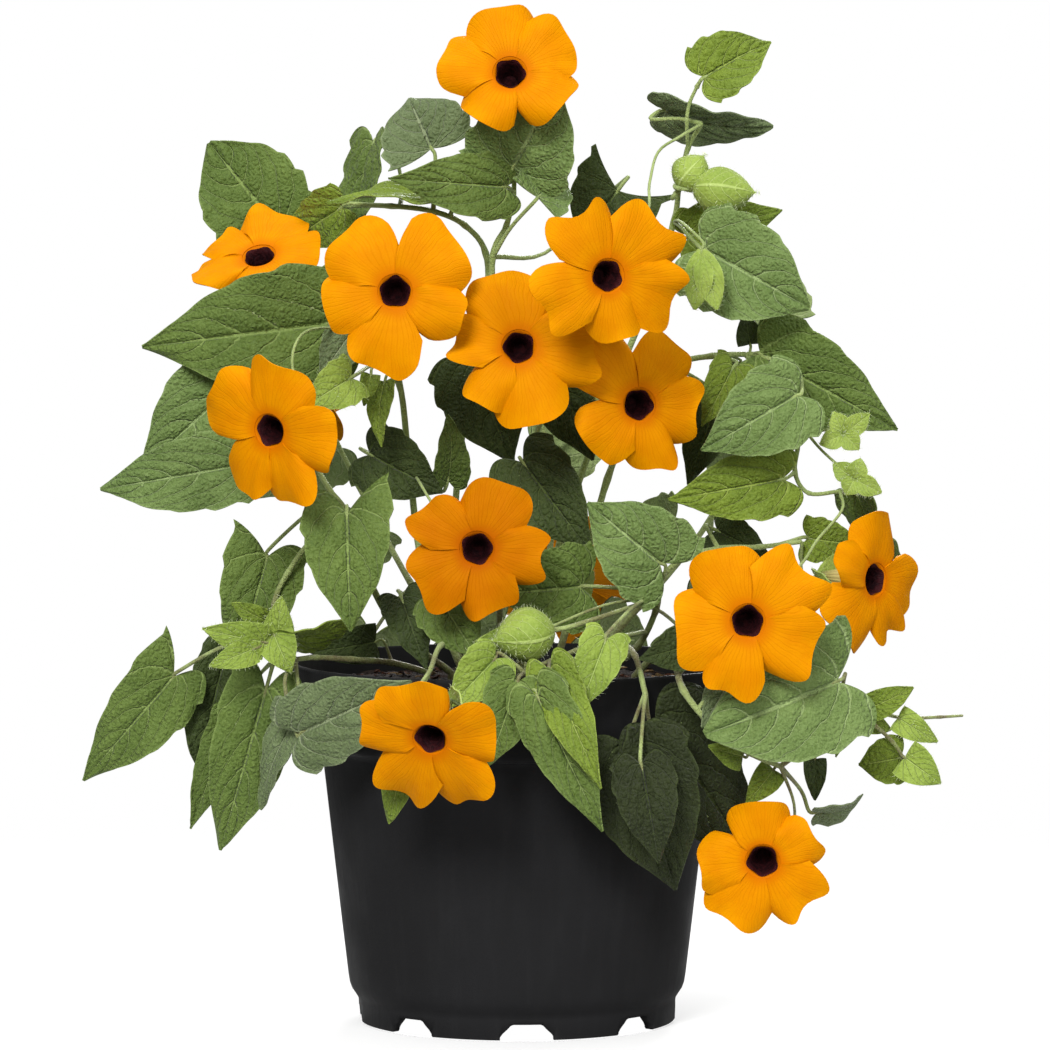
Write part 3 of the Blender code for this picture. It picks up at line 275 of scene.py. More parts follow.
pot.modifiers.clear()
pot.data = done
for cutter in cutters:
    bpy.data.objects.remove(cutter)
bpy.data.collections.remove(tools)
belongs(pot, "pot", "pot")

# The compost is dark peat with shreds of bark and straw pressed in among it.
# It fills the pot to just under the rim, a little heaped and uneven, and holds every stem.
SOIL_HEIGHT = 97.0
SOIL_RADIUS = 61.2
SOIL_SIDES = 120
SOIL_RINGS = 34
SHREDS = 900
rng = random.Random(7)


def soil_height(x, y):
    """Height of the uneven compost at a place."""
    radius = math.hypot(x, y)
    heap = 1.0 - 2.0 * (radius / 61.0) ** 3
    rough = noise.fractal(Vector((x * 0.11, y * 0.11, 3.0)), 1.0, 2.0, 4)
    crumb = noise.noise(Vector((x * 0.9, y * 0.9, 8.0)))
    return SOIL_HEIGHT + heap + 1.5 * rough + 0.55 * crumb


soil_profile = [(SOIL_RADIUS * (i / SOIL_RINGS), SOIL_HEIGHT) for i in range(SOIL_RINGS + 1)]
soil_profile += [(59.8, 82.6), (53.7, 80.9), (45.9, FLOOR_TOP + 0.3), (0.0, FLOOR_TOP + 0.3)]
points, faces = turned(soil_profile, SOIL_SIDES)
for point in points:
    if point.z == SOIL_HEIGHT:
        point.z = soil_height(point.x, point.y)
kinds = [0] * len(faces)


def shred(centre, reach, thin, kind):
    """A torn flake of bark or straw: a lumpy hull round a place."""
    lump = bmesh.new()
    spin = Matrix.Rotation(rng.uniform(0, math.tau), 3, "Z")
    spin = spin @ Matrix.Rotation(rng.uniform(-0.7, 0.7), 3, "X")
    for corner in range(9):
        away = Vector((rng.gauss(0, 1), rng.gauss(0, 1), rng.gauss(0, 1))).normalized()
        away = Vector((away.x * reach, away.y * thin, away.z * thin * 0.7))
        lump.verts.new(centre + spin @ away)
    bmesh.ops.convex_hull(lump, input=lump.verts[:])
    first = len(points)
    lump.verts.index_update()
    points.extend(vertex.co.copy() for vertex in lump.verts)
    for face in lump.faces:
        faces.append(tuple(first + vertex.index for vertex in face.verts))
        kinds.append(kind)
    lump.free()


for k in range(SHREDS):
    radius, angle = 60.0 * math.sqrt(rng.random()), rng.uniform(0, math.tau)
    x, y = radius * math.cos(angle), radius * math.sin(angle)
    kind = rng.choices((0, 1, 2), (5, 3, 1))[0]
    size = rng.uniform(0.5, 1.9)
    long = 3.2 if kind == 2 else 1.7
    shred(Vector((x, y, soil_height(x, y) + 0.2 * size)), size * long * 0.6, size * 0.55, kind)

peats = []
for name, dark, pale in (("peat", (22, 15, 12), (52, 35, 26)),
                         ("bark", (58, 32, 22), (104, 62, 42)),
                         ("straw", (104, 82, 54), (156, 128, 88))):
    peat, tree, shader = finish(name, 0.92, 0.2)
    coarse = placed(tree, mottle, Scale=260.0, Detail=6.0).outputs[0]
    fine = placed(tree, mottle, Scale=1900.0, Detail=5.0).outputs[0]
    base = tint(tree, coarse, paint(*dark), paint(*pale))
    base = tint(tree, fade(tree, fine, 0.4, 1.0, 0.0, 0.6), base, paint(14, 10, 8))
    dress(tree, shader, base)
    relief(tree, shader, fine, 0.0006)
    peats.append(peat)
soil = solid("compost", points, faces, peats, kinds, sharp=35.0)
belongs(soil, "soil", "soil")

# Each flower has five broad overlapping lobes, satin orange, on a slender flared tube.
# The throat is a dark purple cup. The flowers face the light, some turned to either side.
VIEWPOINT = Vector((2.3, -1715.0, 250.0))
THROAT_RADIUS = 5.0
TUBE_LENGTH = 18.0
PETAL_HALF = 0.17
PETAL_ROWS = 22
PETAL_COLUMNS = 22
PETAL_RIM = (0.98, 1.02, 0.95, 1.05, 0.99)
PETAL_SPREAD = 0.86
RING_SIDES = 40
LIP = [(3.4, -1.9), (3.9, -0.7), (4.6, 0.02), (5.5, 0.33)]
TUBE = [(6.2, -0.05), (5.3, -0.9), (4.5, -2.6), (3.8, -5.6), (3.1, -9.5), (2.4, -13.5),
        (1.9, -16.5), (1.75, -TUBE_LENGTH)]
THROAT = [(4.2, 0.12, 0.075), (4.0, -0.12, 0.06), (3.7, -0.6, 0.03), (3.35, -1.5, 0.0),
          (2.9, -3.2, 0.0), (2.4, -5.0, 0.0), (1.9, -7.0, 0.0)]
rng = random.Random(41)


def seen(x, z, depth):
    """Point seen at x, z in the plane of the pot's axis, at the given depth."""
    reach = (depth - VIEWPOINT.y) / -VIEWPOINT.y
    return VIEWPOINT + (Vector((x, 0.0, z)) - VIEWPOINT) * reach


def on_curve(values, u):
    """Value at u on a smooth curve through evenly numbered values."""
    i = min(int(u), len(values) - 2)
    t = u - i
    b, c = values[i], values[i + 1]
    a = values[i - 1] if i else b * 2 - c
    d = values[i + 2] if i + 2 < len(values) else c * 2 - b
    return (b * 2 + (c - a) * t + (a * 2 - b * 5 + c * 4 - d) * t * t
            + (b * 3 - a - c * 3 + d) * t * t * t) * 0.5


class Growth:
    """Points, faces and finishes of one living piece while it is put together."""

    def __init__(self):
        self.points, self.places, self.faces, self.kinds = [], [], [], []

    def face(self, corners, kind):
        self.faces.append(tuple(corners))
        self.kinds.append(kind)

    def sheet(self, grid, places, half, upper, under):
        """A thin closed blade round a grid of points, and the outward normals over it."""
        rows, columns = len(grid), len(grid[0])
        top, low, normals = [], [], []
        for r in range(rows):
            top.append([])
            low.append([])
            normals.append([])
            for c in range(columns):
                along = grid[min(r + 1, rows - 1)][c] - grid[max(r - 1, 0)][c]
                wide = grid[r][min(c + 1, columns - 1)] - grid[r][max(c - 1, 0)]
                out = wide.cross(along).normalized()
                for side, hand in ((top, 1.0), (low, -1.0)):
                    side[r].append(len(self.points))
                    self.points.append(grid[r][c] + out * half * hand)
                    self.places.append(places[r][c])
                normals[r].append(out)
        for r in range(rows - 1):
            for c in range(columns - 1):
                self.face((top[r][c], top[r][c + 1], top[r + 1][c + 1], top[r + 1][c]), upper)
                self.face((low[r + 1][c], low[r + 1][c + 1], low[r][c + 1], low[r][c]), under)
        rim = [(0, c) for c in range(columns)] + [(r, columns - 1) for r in range(1, rows)]
        rim += [(rows - 1, c) for c in range(columns - 2, -1, -1)]
        rim += [(r, 0) for r in range(rows - 2, 0, -1)]
        for (r0, c0), (r1, c1) in zip(rim, rim[1:] + rim[:1]):
            self.face((top[r1][c1], top[r0][c0], low[r0][c0], low[r1][c1]), upper)
        return normals

    def rings(self, loops, kind, places, close=(True, True)):
        """A skin over closed loops of points that run round to the left of the way ahead."""
        sides = len(loops[0])
        first = len(self.points)
        for loop, place in zip(loops, places):
            self.points.extend(loop)
            self.places.extend((abs(2.0 * k / sides - 1.0), place) for k in range(sides))
        for i in range(len(loops) - 1):
            for k in range(sides):
                a, b = first + i * sides + k, first + i * sides + (k + 1) % sides
                self.face((a, b, b + sides, a + sides), kind)
        if close[0]:
            self.face(reversed(range(first, first + sides)), kind)
        if close[1]:
            last = first + (len(loops) - 1) * sides
            self.face(range(last, last + sides), kind)

    def tube(self, line, radii, kind, sides=8):
        """A round stem along a line of points, with a radius for each."""
        loops, places, normal, run = [], [], None, 0.0
        for i, centre in enumerate(line):
            axis = (line[min(i + 1, len(line) - 1)] - line[max(i - 1, 0)]).normalized()
            if normal is None:
                normal = axis.orthogonal().normalized()
            normal = (normal - axis * normal.dot(axis)).normalized()
            across = axis.cross(normal)
            run += (centre - line[max(i - 1, 0)]).length
            loops.append([centre + (normal * math.cos(math.tau * k / sides)
                                    + across * math.sin(math.tau * k / sides)) * radii[i]
                          for k in range(sides)])
            places.append(run * 0.02)
        self.rings(loops, kind, places)

    def made(self, name, materials, sharp=55.0):
        """The finished piece."""
        return solid(name, self.points, self.faces, materials, self.kinds, self.places, sharp)


class Bloom:
    """Place, facing and lobes of one flower.

    turn is to the viewer's right and lift is upwards, in degrees. Each lobe is given by its
    clock angle from the right, its reach from the throat and its width.
    """

    def __init__(self, number, throat, turn, lift, lobes):
        self.number = number
        self.throat = seen(*throat)
        turn, lift = math.radians(turn), math.radians(lift)
        self.out = Vector((math.sin(turn) * math.cos(lift), -math.cos(turn) * math.cos(lift),
                           math.sin(lift)))
        self.right = Vector((math.cos(turn), math.sin(turn), 0.0))
        self.up = self.out.cross(self.right)
        self.lobes = sorted(lobes)

    def place(self, radius, angle, rise):
        """Point at a radius and angle about the throat, raised along the facing."""
        arm = self.right * math.cos(angle) + self.up * math.sin(angle)
        return self.throat + arm * radius + self.out * rise

    def loop(self, radius, rise, uneven=0.0):
        """A ring of points about the facing, clockwise as seen from the tip."""
        ring = []
        for k in range(RING_SIDES):
            angle = math.tau * k / RING_SIDES
            swell = 1.0 + uneven * math.sin(5 * angle + self.number)
            swell += 0.6 * uneven * math.sin(3 * angle + 2 * self.number)
            ring.append(self.place(radius * swell, -angle, rise))
        return ring

    def petals(self):
        """The five lobes, the lip they share and the tube behind it, as one piece."""
        growth = Growth()
        middles = [math.radians(lobe[0]) for lobe in self.lobes]
        for k, (middle, (_, reach, width)) in enumerate(zip(middles, self.lobes)):
            before = middles[k - 1] - (math.tau if k == 0 else 0.0)
            after = middles[(k + 1) % 5] + (math.tau if k == 4 else 0.0)
            gaps = (0.5 * (middle - before), 0.5 * (after - middle))
            dip = rng.uniform(-0.6, 0.6)
            shares = [share + rng.uniform(-0.06, 0.06) for share in PETAL_RIM]
            phase, skew = rng.uniform(0, math.tau), rng.uniform(-0.08, 0.08)
            grid, places = [], []
            for r in range(PETAL_ROWS + 1):
                v = r / PETAL_ROWS
                grid.append([])
                places.append([])
                for c in range(PETAL_COLUMNS + 1):
                    u = 1.0 - 2.0 * c / PETAL_COLUMNS
                    bow = math.cos(0.5 * math.pi * u)
                    edge = on_curve(shares, min(2.0 * (u + 1.0), 3.9999))
                    along = reach * (0.5 + (0.99 * edge - 0.49) * bow ** 0.46)
                    along *= 1.0 + skew * u + 0.02 * math.sin(4.6 * u + 2.0 * phase)
                    along *= 1.0 + 0.01 * math.sin(9.0 * u + phase)
                    aside = 0.5 * width * math.copysign(math.sin(0.5 * math.pi * abs(u)) ** 0.85, u)
                    gap = gaps[0] if u < 0 else gaps[1]
                    spread = math.atan2(aside, along)
                    if abs(spread) < PETAL_SPREAD * gap * abs(u):
                        spread = PETAL_SPREAD * gap * u
                    radius = THROAT_RADIUS + v * (math.hypot(along, aside) - THROAT_RADIUS)
                    under = 1.24 if u < 0 else 1.07
                    blend = v ** 1.6
                    turn = (1.0 - blend) * u * gap * under + blend * spread * 1.03
                    rise = 0.3 * (1.0 - v) + 0.95 * u * v ** 0.75
                    rise += 0.75 * math.sin(math.pi * v) - 0.6 * v * v - 1.5 * v * v * u * u
                    rise += dip * math.cos(4.0 * u) * v * v
                    rise -= 0.4 * math.exp(-(u / 0.16) ** 2) * v * (1.15 - v)
                    rise += 0.13 * math.sin(13.0 * u + phase) * v * (1.15 - 0.6 * v)
                    rise += 1.5 * v ** 3 * math.sin(3.9 * u + 1.7 * phase)
                    rise += 0.34 * v ** 5 * math.sin(9.0 * u - phase)
                    grid[r].append(self.place(radius, middle + turn, rise))
                    places[r].append((0.5 + 0.5 * u, v))
            growth.sheet(grid, places, PETAL_HALF, 0, 1)
        growth.rings([self.loop(*stop) for stop in LIP], 0, (0.0, 0.0, 0.0, 0.03),
                     close=(False, False))
        growth.rings([self.loop(*stop) for stop in TUBE], 2, [i / 7 for i in range(8)],
                     close=(False, True))
        return growth

    def cup(self):
        """The dark throat: a lining that runs down from the lip, closed at its foot."""
        growth = Growth()
        loops = [self.loop(*stop)[::-1] for stop in THROAT]
        growth.rings(loops, 0, [i / 6 for i in range(7)], close=(False, True))
        return growth


# Petal skin: fine veins fan out from the throat and fork, over a soft satin nap
streak, ends_in, ends_out = shared(
    "petal_veins", [("Place", "NodeSocketVector", None)],
    [("Vein", "NodeSocketFloat"), ("Reach", "NodeSocketFloat")])
parts = put(streak, "SeparateXYZ", ends_in.outputs["Place"])
sway = placed(streak, mottle, Scale=140.0, Detail=2.0).outputs[0]
fan = sums(streak, "MULTIPLY_ADD", sway, 0.035, parts.outputs[0])
lines = []
for count, start in ((13.0, 0.0), (26.0, 0.35), (52.0, 0.6)):
    wave = sums(streak, "PINGPONG", sums(streak, "MULTIPLY", fan, count), 0.5)
    line = fade(streak, wave, 0.0, 0.15, 1.0, 0.0)
    fork = fade(streak, parts.outputs[1], start, start + 0.2)
    lines.append(sums(streak, "MULTIPLY", line, fork))
vein = sums(streak, "MAXIMUM", lines[0], sums(streak, "MULTIPLY", lines[1], 0.7))
vein = sums(streak, "MAXIMUM", vein, sums(streak, "MULTIPLY", lines[2], 0.45))
streak.links.new(vein, ends_out.inputs["Vein"])
streak.links.new(parts.outputs[1], ends_out.inputs["Reach"])


def petal_finish(name, mid, deep, light, roughness):
    """Orange petal skin: deeper by the throat, lighter to the rim, with darker veins."""
    material, tree, shader = finish(name, roughness, 0.02)
    place = put(tree, "UVMap", uv_map="place").outputs[0]
    vein, reach = placed(tree, streak, Place=place).outputs
    cloud = placed(tree, mottle, Scale=170.0, Detail=4.0).outputs[0]
    nap = placed(tree, mottle, Scale=3200.0, Detail=2.0).outputs[0]
    base = tint(tree, fade(tree, reach, -0.05, 0.24), paint(*deep), paint(*mid))
    base = tint(tree, fade(tree, reach, 0.55, 1.0, 0.0, 0.6), base, paint(*light))
    base = tint(tree, sums(tree, "MULTIPLY", cloud, 0.3), base, paint(*deep))
    base = tint(tree, sums(tree, "MULTIPLY", vein, 0.2), base, paint(*deep))
    dress(tree, shader, base, fade(tree, nap, 0.0, 1.0, roughness - 0.06, roughness + 0.08))
    height = sums(tree, "MULTIPLY_ADD", nap, 0.25, sums(tree, "MULTIPLY", vein, -0.6))
    relief(tree, shader, height, 0.0001)
    return material


petal_orange = petal_finish("petal_orange", (206, 130, 0), (190, 102, 0), (214, 142, 0), 0.52)
# A darker copy of the orange skin: painted shade for the bloom that sits in shadow.
petal_shaded = petal_finish("petal_shaded", (182, 106, 0), (166, 82, 0), (190, 116, 0), 0.54)
petal_back = petal_finish("petal_back", (204, 132, 22), (186, 112, 20), (210, 140, 20), 0.6)


def on_skin(tree):
    """Place across and along a piece's skin, each from 0 to 1."""
    return put(tree, "SeparateXYZ", put(tree, "UVMap", uv_map="place").outputs[0]).outputs[:2]


flower_tube, tree, shader = finish("flower_tube", 0.55, 0.3)
across, along = on_skin(tree)
ribs = sums(tree, "PINGPONG", sums(tree, "MULTIPLY", across, 8.0), 0.5)
base = tint(tree, fade(tree, along, 0.0, 0.55), paint(236, 168, 70), paint(196, 178, 112))
base = tint(tree, fade(tree, along, 0.6, 1.0), base, paint(122, 132, 70))
base = tint(tree, fade(tree, ribs, 0.0, 0.2, 0.4, 0.0), base, paint(132, 78, 62))
dress(tree, shader, base)
relief(tree, shader, ribs, 0.0003)

throat_purple, tree, shader = finish("throat_purple", 0.62, 0.1)
across, along = on_skin(tree)
rays = sums(tree, "PINGPONG", sums(tree, "MULTIPLY", across, 24.0), 0.5)
cloud = placed(tree, mottle, Scale=900.0, Detail=3.0).outputs[0]
# Darker deeper down the cup: painted shade in the throat, over its dark purple.
base = tint(tree, fade(tree, along, 0.1, 0.6), paint(56, 18, 20), paint(20, 6, 9))
base = tint(tree, fade(tree, rays, 0.1, 0.4, 0.5, 0.0), base, paint(30, 8, 13))
base = tint(tree, sums(tree, "MULTIPLY", cloud, 0.3), base, paint(74, 24, 26))
dress(tree, shader, base)
relief(tree, shader, sums(tree, "ADD", cloud, rays), 0.0002)

# Blooms, from the top of the plant down its front, then two behind
BLOOMS = [
    Bloom(1, (-2, 272.5, -24), 0, 20,
          [(35, 20, 20), (100, 20, 20), (165, 20.5, 18), (235, 17, 15), (332, 19, 16)]),
    Bloom(2, (-74, 220, 2), -15, 52,
          [(15, 18, 16), (85, 22, 20), (150, 19, 15), (205, 20, 13), (290, 18, 16)]),
    Bloom(3, (-35, 210, -58), 2, 5,
          [(38, 23, 22), (135, 22, 20), (192, 21, 17), (258, 23, 20), (338, 20, 15)]),
    Bloom(4, (-71, 170, -62), -32, -8,
          [(75, 20, 21), (148, 22.5, 19), (240, 21, 13), (287, 22, 17), (350, 22, 18)]),
    Bloom(5, (0.5, 194, -50), 0, 8,
          [(108, 21.5, 21), (172, 20, 14), (236, 20, 14), (283, 22, 21), (358, 22, 20)]),
    Bloom(6, (26, 214.5, -68), 22, 0,
          [(42, 24, 22), (118, 21, 20), (208, 22, 17), (283, 18, 16), (340, 23, 20)]),
    Bloom(7, (35, 177.5, -36), 20, 0,
          [(57, 21, 18), (125, 23, 15), (222, 19.5, 17), (286, 19.5, 15), (352, 19.5, 19)]),
    Bloom(8, (-11.5, 136, -62), 0, 4,
          [(65, 20, 19), (145, 20, 15), (215, 21, 19), (285, 19.5, 16), (352, 20, 16)]),
    Bloom(9, (66.5, 115, -84), 3, 2,
          [(42, 23, 21), (112, 21, 20), (190, 21, 22), (252, 22.5, 13), (335, 22, 20)]),
    Bloom(10, (103, 127, -35), 50, 0,
          [(85, 19, 20), (155, 18, 13), (225, 22, 21), (300, 20, 12), (343, 20, 14)]),
    Bloom(11, (-25, 81, -96), -15, -28,
          [(3, 19, 18), (112, 18.5, 19), (172, 20.5, 15), (238, 23.5, 18), (296, 24, 18)]),
    Bloom(12, (71, 45.5, -68), -3, -6,
          [(26, 17, 15), (93, 17.5, 16), (190, 18, 16), (240, 21, 19), (316, 19, 18)]),
    Bloom(13, (-66, 180, 88), 200, 8,
          [(20, 20, 18), (92, 21, 18), (164, 20, 18), (236, 21, 18), (308, 20, 18)]),
    Bloom(14, (14, 127, 102.5), 180, -5,
          [(30, 20, 18), (102, 20, 18), (174, 20, 18), (246, 21, 18), (318, 20, 18)]),
]
bloom = {each.number: each for each in BLOOMS}
for each in BLOOMS:
    # The bloom in shadow takes the darker copy of the petal skin: painted shade.
    skin = petal_shaded if each.number == 8 else petal_orange
    petals = each.petals().made(f"petals_{each.number:02d}", [skin, petal_back, flower_tube])
    belongs(petals, "petal", f"bloom_{each.number:02d}_petals")
    throat = each.cup().made(f"throat_{each.number:02d}", [throat_purple])
    belongs(throat, "throat", f"bloom_{each.number:02d}_eye")

# The stems are thin green twining shoots, flushed brown where they leave the compost.
# Soft hairy leaves sit on long stalks, heart or arrow shaped with a few coarse teeth, and
# two clasping bracts hold each flower. Stalks, leaves, bracts and buds grow out of the stem.
COLLAR_HEIGHT = 101.0
ROOT_DEPTH = 77.0
LEAF_HALF = 0.2
STALK_NECK = 2.4
SHORT_STALK = 14.0
NARROW_LEAF = 12.5
BROAD_LEAF = 17.0
HAIR_LENGTH = 1.35
BUD_HAIR_LENGTH = 1.5
HAIR_HALF = 0.06
BUD_ROWS = 20
BUD_SIDES = 28
SHOOT_SHARE = 0.64
BRACT_SEAT = 2.2
BRACT_REACH = 13.5
BRACT_SPREAD = 8.5
BRACT_WIDTH = 11.0
MAIN_VEINS = ((-0.012, 0.06), (0.0, 0.3), (0.0, 0.66), (0.27, 0.5), (0.47, 0.4), (0.66, 0.28))
VEIN_BOW = 1.12
# The two darkest tones are darker copies of the leaf green: painted shade for leaves that sit in
# shadow, the darkest for those hanging face down at the front of the pot.
STEM, MID, LIGHT, SHADED, OLIVE, LIME, GREY, UNDER, YOUNG, DEEP_SHADE, HAIR = range(11)
rng = random.Random(23)


def blade_half(t, shape):
    """Half the width of a blade at t, from its stalk (0) to its tip (1)."""
    if shape["bract"]:
        return 0.5 * shape["width"] * (1.0 - t) * (0.25 + 3.3 * t)
    half = 0.5 * shape["width"] * (1.0 - t) ** shape["taper"] * (0.92 + 1.4 * t)
    if shape["width"] > NARROW_LEAF:
        tooth = (4.3 * t + 0.55 + 0.4 * shape["phase"]) % 1.0
        saw = tooth / 0.76 if tooth < 0.76 else (1.0 - tooth) / 0.24
        half *= 1.0 + 0.15 * (1.0 - t) ** 1.5 * (saw - 0.55)
        half *= 1.0 - 0.34 * max(0.0, (t - 0.62) / 0.38) ** 1.2
    return half


def blade_point(s, t, shape):
    """Place on a leaf blade: s runs from edge to edge (-1 to 1), t from stalk (0) to tip (1)."""
    a = abs(s)
    half = blade_half(t, shape)
    ear = shape["ear"][0] if s < 0 else shape["ear"][1]
    lobe = shape["lobe"]
    back = (a * (4 * lobe - ear) + a * a * (2 * ear - 4 * lobe)) * (1.0 - t) ** 2
    along = shape["length"] * (t - back)
    wave = 0.028 * shape["length"] * a * a * math.sin(math.tau * (1.4 * t + shape["phase"]) + s)
    wave += 0.012 * shape["length"] * a ** 3 * math.sin(math.tau * (3.7 * t - shape["phase"]) - s)
    rise = a * half * math.sin(shape["fold"]) + shape["bend"] * 4 * t * (1 - t) + wave
    out = s * half * math.cos(shape["fold"])
    gap = min(abs(t - start - slope * a ** VEIN_BOW) for start, slope in MAIN_VEINS)
    gap = min(gap * 1.6, a * half / shape["length"] * 2.2) * shape["length"]
    rise += 0.045 * min(shape["width"], 26.0) * (1.0 - math.exp(-(gap / 2.2) ** 2)) * (1.0 - a * a)
    return shape["base"] + shape["axis"] * along + shape["side"] * out + shape["face"] * rise


def blade_shape(base, tip, face, width, fold, bend, lobe=0.0, ear=(0.0, 0.0), taper=1.0,
                bract=False):
    """Named measures of one leaf or bract, for blade_point()."""
    axis = (tip - base).normalized()
    face = (face - axis * face.dot(axis)).normalized()
    return {
        "base": base, "axis": axis, "face": face, "side": axis.cross(face),
        "length": (tip - base).length, "width": width, "fold": math.radians(fold),
        "bend": bend, "lobe": lobe, "ear": ear, "taper": taper,
        "phase": (base.x * 0.37 + base.z * 0.11) % 1.0, "bract": bract,
    }


def smooth_line(points, steps):
    """A smooth line through points, with so many steps between each two."""
    count = (len(points) - 1) * steps
    return [on_curve(points, min(i / steps, len(points) - 1.0001)) for i in range(count + 1)]


class LeafyStem(Growth):
    """One living stem with its branches, stalks, leaves, bracts and buds."""

    def __init__(self, name):
        super().__init__()
        self.name = name
        self.routes = []

    def at(self, place):
        """Point on a route: place is (route number, station) or a station on the first."""
        route, u = place if isinstance(place, tuple) else (0, place)
        points = self.routes[route]
        return on_curve(points, min(u, len(points) - 1.0001))

    def shoot(self, points, thick, thin, start=None):
        """A stem through places as seen. A branch starts on an earlier route, and a stem
        with no start stands upright in the compost."""
        route = [seen(*p) for p in points]
        if start is None:
            route[0].z = COLLAR_HEIGHT
        else:
            route.insert(0, self.at(start))
        self.routes.append(route)
        line = smooth_line(route, 6)
        count = len(line) - 1
        radii = [SHOOT_SHARE * (thick + (thin - thick) * i / count) for i in range(count + 1)]
        for i in range(6, count, 6):
            radii[i] *= 1.22
        if start is None:
            foot = Vector((route[0].x, route[0].y, ROOT_DEPTH))
            line[:0] = [foot, foot.lerp(route[0], 0.85)]
            radii[:0] = [SHOOT_SHARE * thick, SHOOT_SHARE * thick]
        self.tube(line, radii, STEM, 10)

    def hairs(self, grid, normals, share, length):
        """Fine soft hairs that stand off a young blade, thickest along its edge."""
        rows, columns = len(grid), len(grid[0])
        for r in range(rows):
            for c in range(columns):
                edge = c in (0, columns - 1)
                if rng.random() > share * (2.5 if edge else 1.0):
                    continue
                foot = grid[r][c]
                way = normals[r][c] * rng.choice((1.0, 1.0, -0.6) if not edge else (0.6, -0.4))
                if edge:
                    way = way + (foot - grid[r][columns // 2]).normalized() * 1.2
                way = way + Vector((rng.uniform(-0.5, 0.5), rng.uniform(-0.5, 0.5),
                                    rng.uniform(-0.5, 0.5)))
                self.hair(foot, way.normalized() * length * rng.uniform(0.5, 1.1))

    def hair(self, foot, way):
        """One hair: a slim spike with a closed foot."""
        side = way.orthogonal().normalized() * HAIR_HALF
        other = way.cross(side).normalized() * HAIR_HALF
        first = len(self.points)
        self.points += [foot + side, foot - side * 0.5 + other, foot - side * 0.5 - other,
                        foot + way]
        self.places += [(0.0, 0.0)] * 3 + [(0.0, 1.0)]
        for corners in ((2, 1, 0), (0, 1, 3), (1, 2, 3), (2, 0, 3)):
            self.face([first + k for k in corners], HAIR)

    def blade(self, shape, tone):
        """A leaf or bract with its midrib, and hairs if it is young."""
        if shape["width"] > BROAD_LEAF:
            columns, rows = 26, 34
        elif shape["width"] > NARROW_LEAF:
            columns, rows = 18, 24
        else:
            columns, rows = 12, 16
        grid, places = [], []
        for r in range(rows + 1):
            t = 0.985 * (r / rows) ** 0.92
            grid.append([])
            places.append([])
            for c in range(columns + 1):
                s = 2.0 * c / columns - 1.0
                grid[r].append(blade_point(s, t, shape))
                places[r].append((0.5 + 0.5 * s, t))
        normals = self.sheet(grid, places, LEAF_HALF, tone, UNDER if tone != YOUNG else YOUNG)
        middle = columns // 2
        ribs = [grid[r][middle] - normals[r][middle] * 0.3 for r in range(rows)]
        thick = 0.62 if shape["width"] > NARROW_LEAF else 0.4
        self.tube(ribs, [thick * (1.0 - 0.85 * r / rows) for r in range(rows)], UNDER, 6)
        if tone in (YOUNG, LIME):
            self.hairs(grid, normals, 0.3 if shape["width"] < BROAD_LEAF else 0.14, HAIR_LENGTH)
        return ribs

    def grow(self, start, shape, via, tone):
        """Add a blade with the stalk that carries it from a place on a stem."""
        base, axis, face = shape["base"], shape["axis"], shape["face"]
        way = [seen(*p) for p in reversed(via)] + [self.at(start)]
        neck = min(STALK_NECK, 0.3 * (way[0] - base).length)
        hand = math.copysign(neck, (way[0] - base).dot(face))
        stops = [base - axis * neck + face * 0.4 * hand]
        back = way[0] - stops[0]
        if back.dot(axis) > 0.3 * back.length:
            stops.append(stops[0] - axis * 0.6 * neck + face * 1.2 * hand)
        if not via and back.length > SHORT_STALK:
            arch = Vector((0.0, 0.0, 0.06 * back.length))
            stops.append(stops[-1].lerp(way[0], 0.55) + arch)
        ribs = self.blade(shape, tone)
        line = smooth_line([ribs[1], base - axis * 0.2] + stops + way, 5)
        count = len(line) - 1
        thin = 0.56 if shape["width"] > NARROW_LEAF else 0.42
        radii = [thin * (1.0 + 0.4 * max(0.0, 1.0 - 6.0 * (1.0 - i / count))
                         + 0.25 * max(0.0, 1.0 - 8.0 * i / count)) for i in range(count + 1)]
        self.tube(line, radii, STEM, 8)

    def leaf(self, start, base, tip, width, roll=0.0, fold=8.0, bend=2.0, lobe=0.16,
             ear=(0.03, 0.03), taper=1.05, via=(), tone=MID):
        """A leaf on its stalk. roll turns the blade about its midrib from facing the viewer."""
        base, tip = seen(*base), seen(*tip)
        axis = (tip - base).normalized()
        face = Vector((0.0, -1.0, 0.0))
        face = (face - axis * face.dot(axis)).normalized()
        face = Matrix.Rotation(math.radians(roll), 3, axis) @ face
        self.grow(start, blade_shape(base, tip, face, width, fold, bend, lobe, ear, taper), via,
                  tone)

    def small_leaf(self, start, base, tip, width, **more):
        """A small leaf or bract, plainer in outline."""
        if width < NARROW_LEAF:
            more = {"lobe": 0.03, "ear": (0.03, 0.03), "tone": LIME, **more}
        self.leaf(start, base, tip, width, **{"ear": (0.13, 0.13), **more})

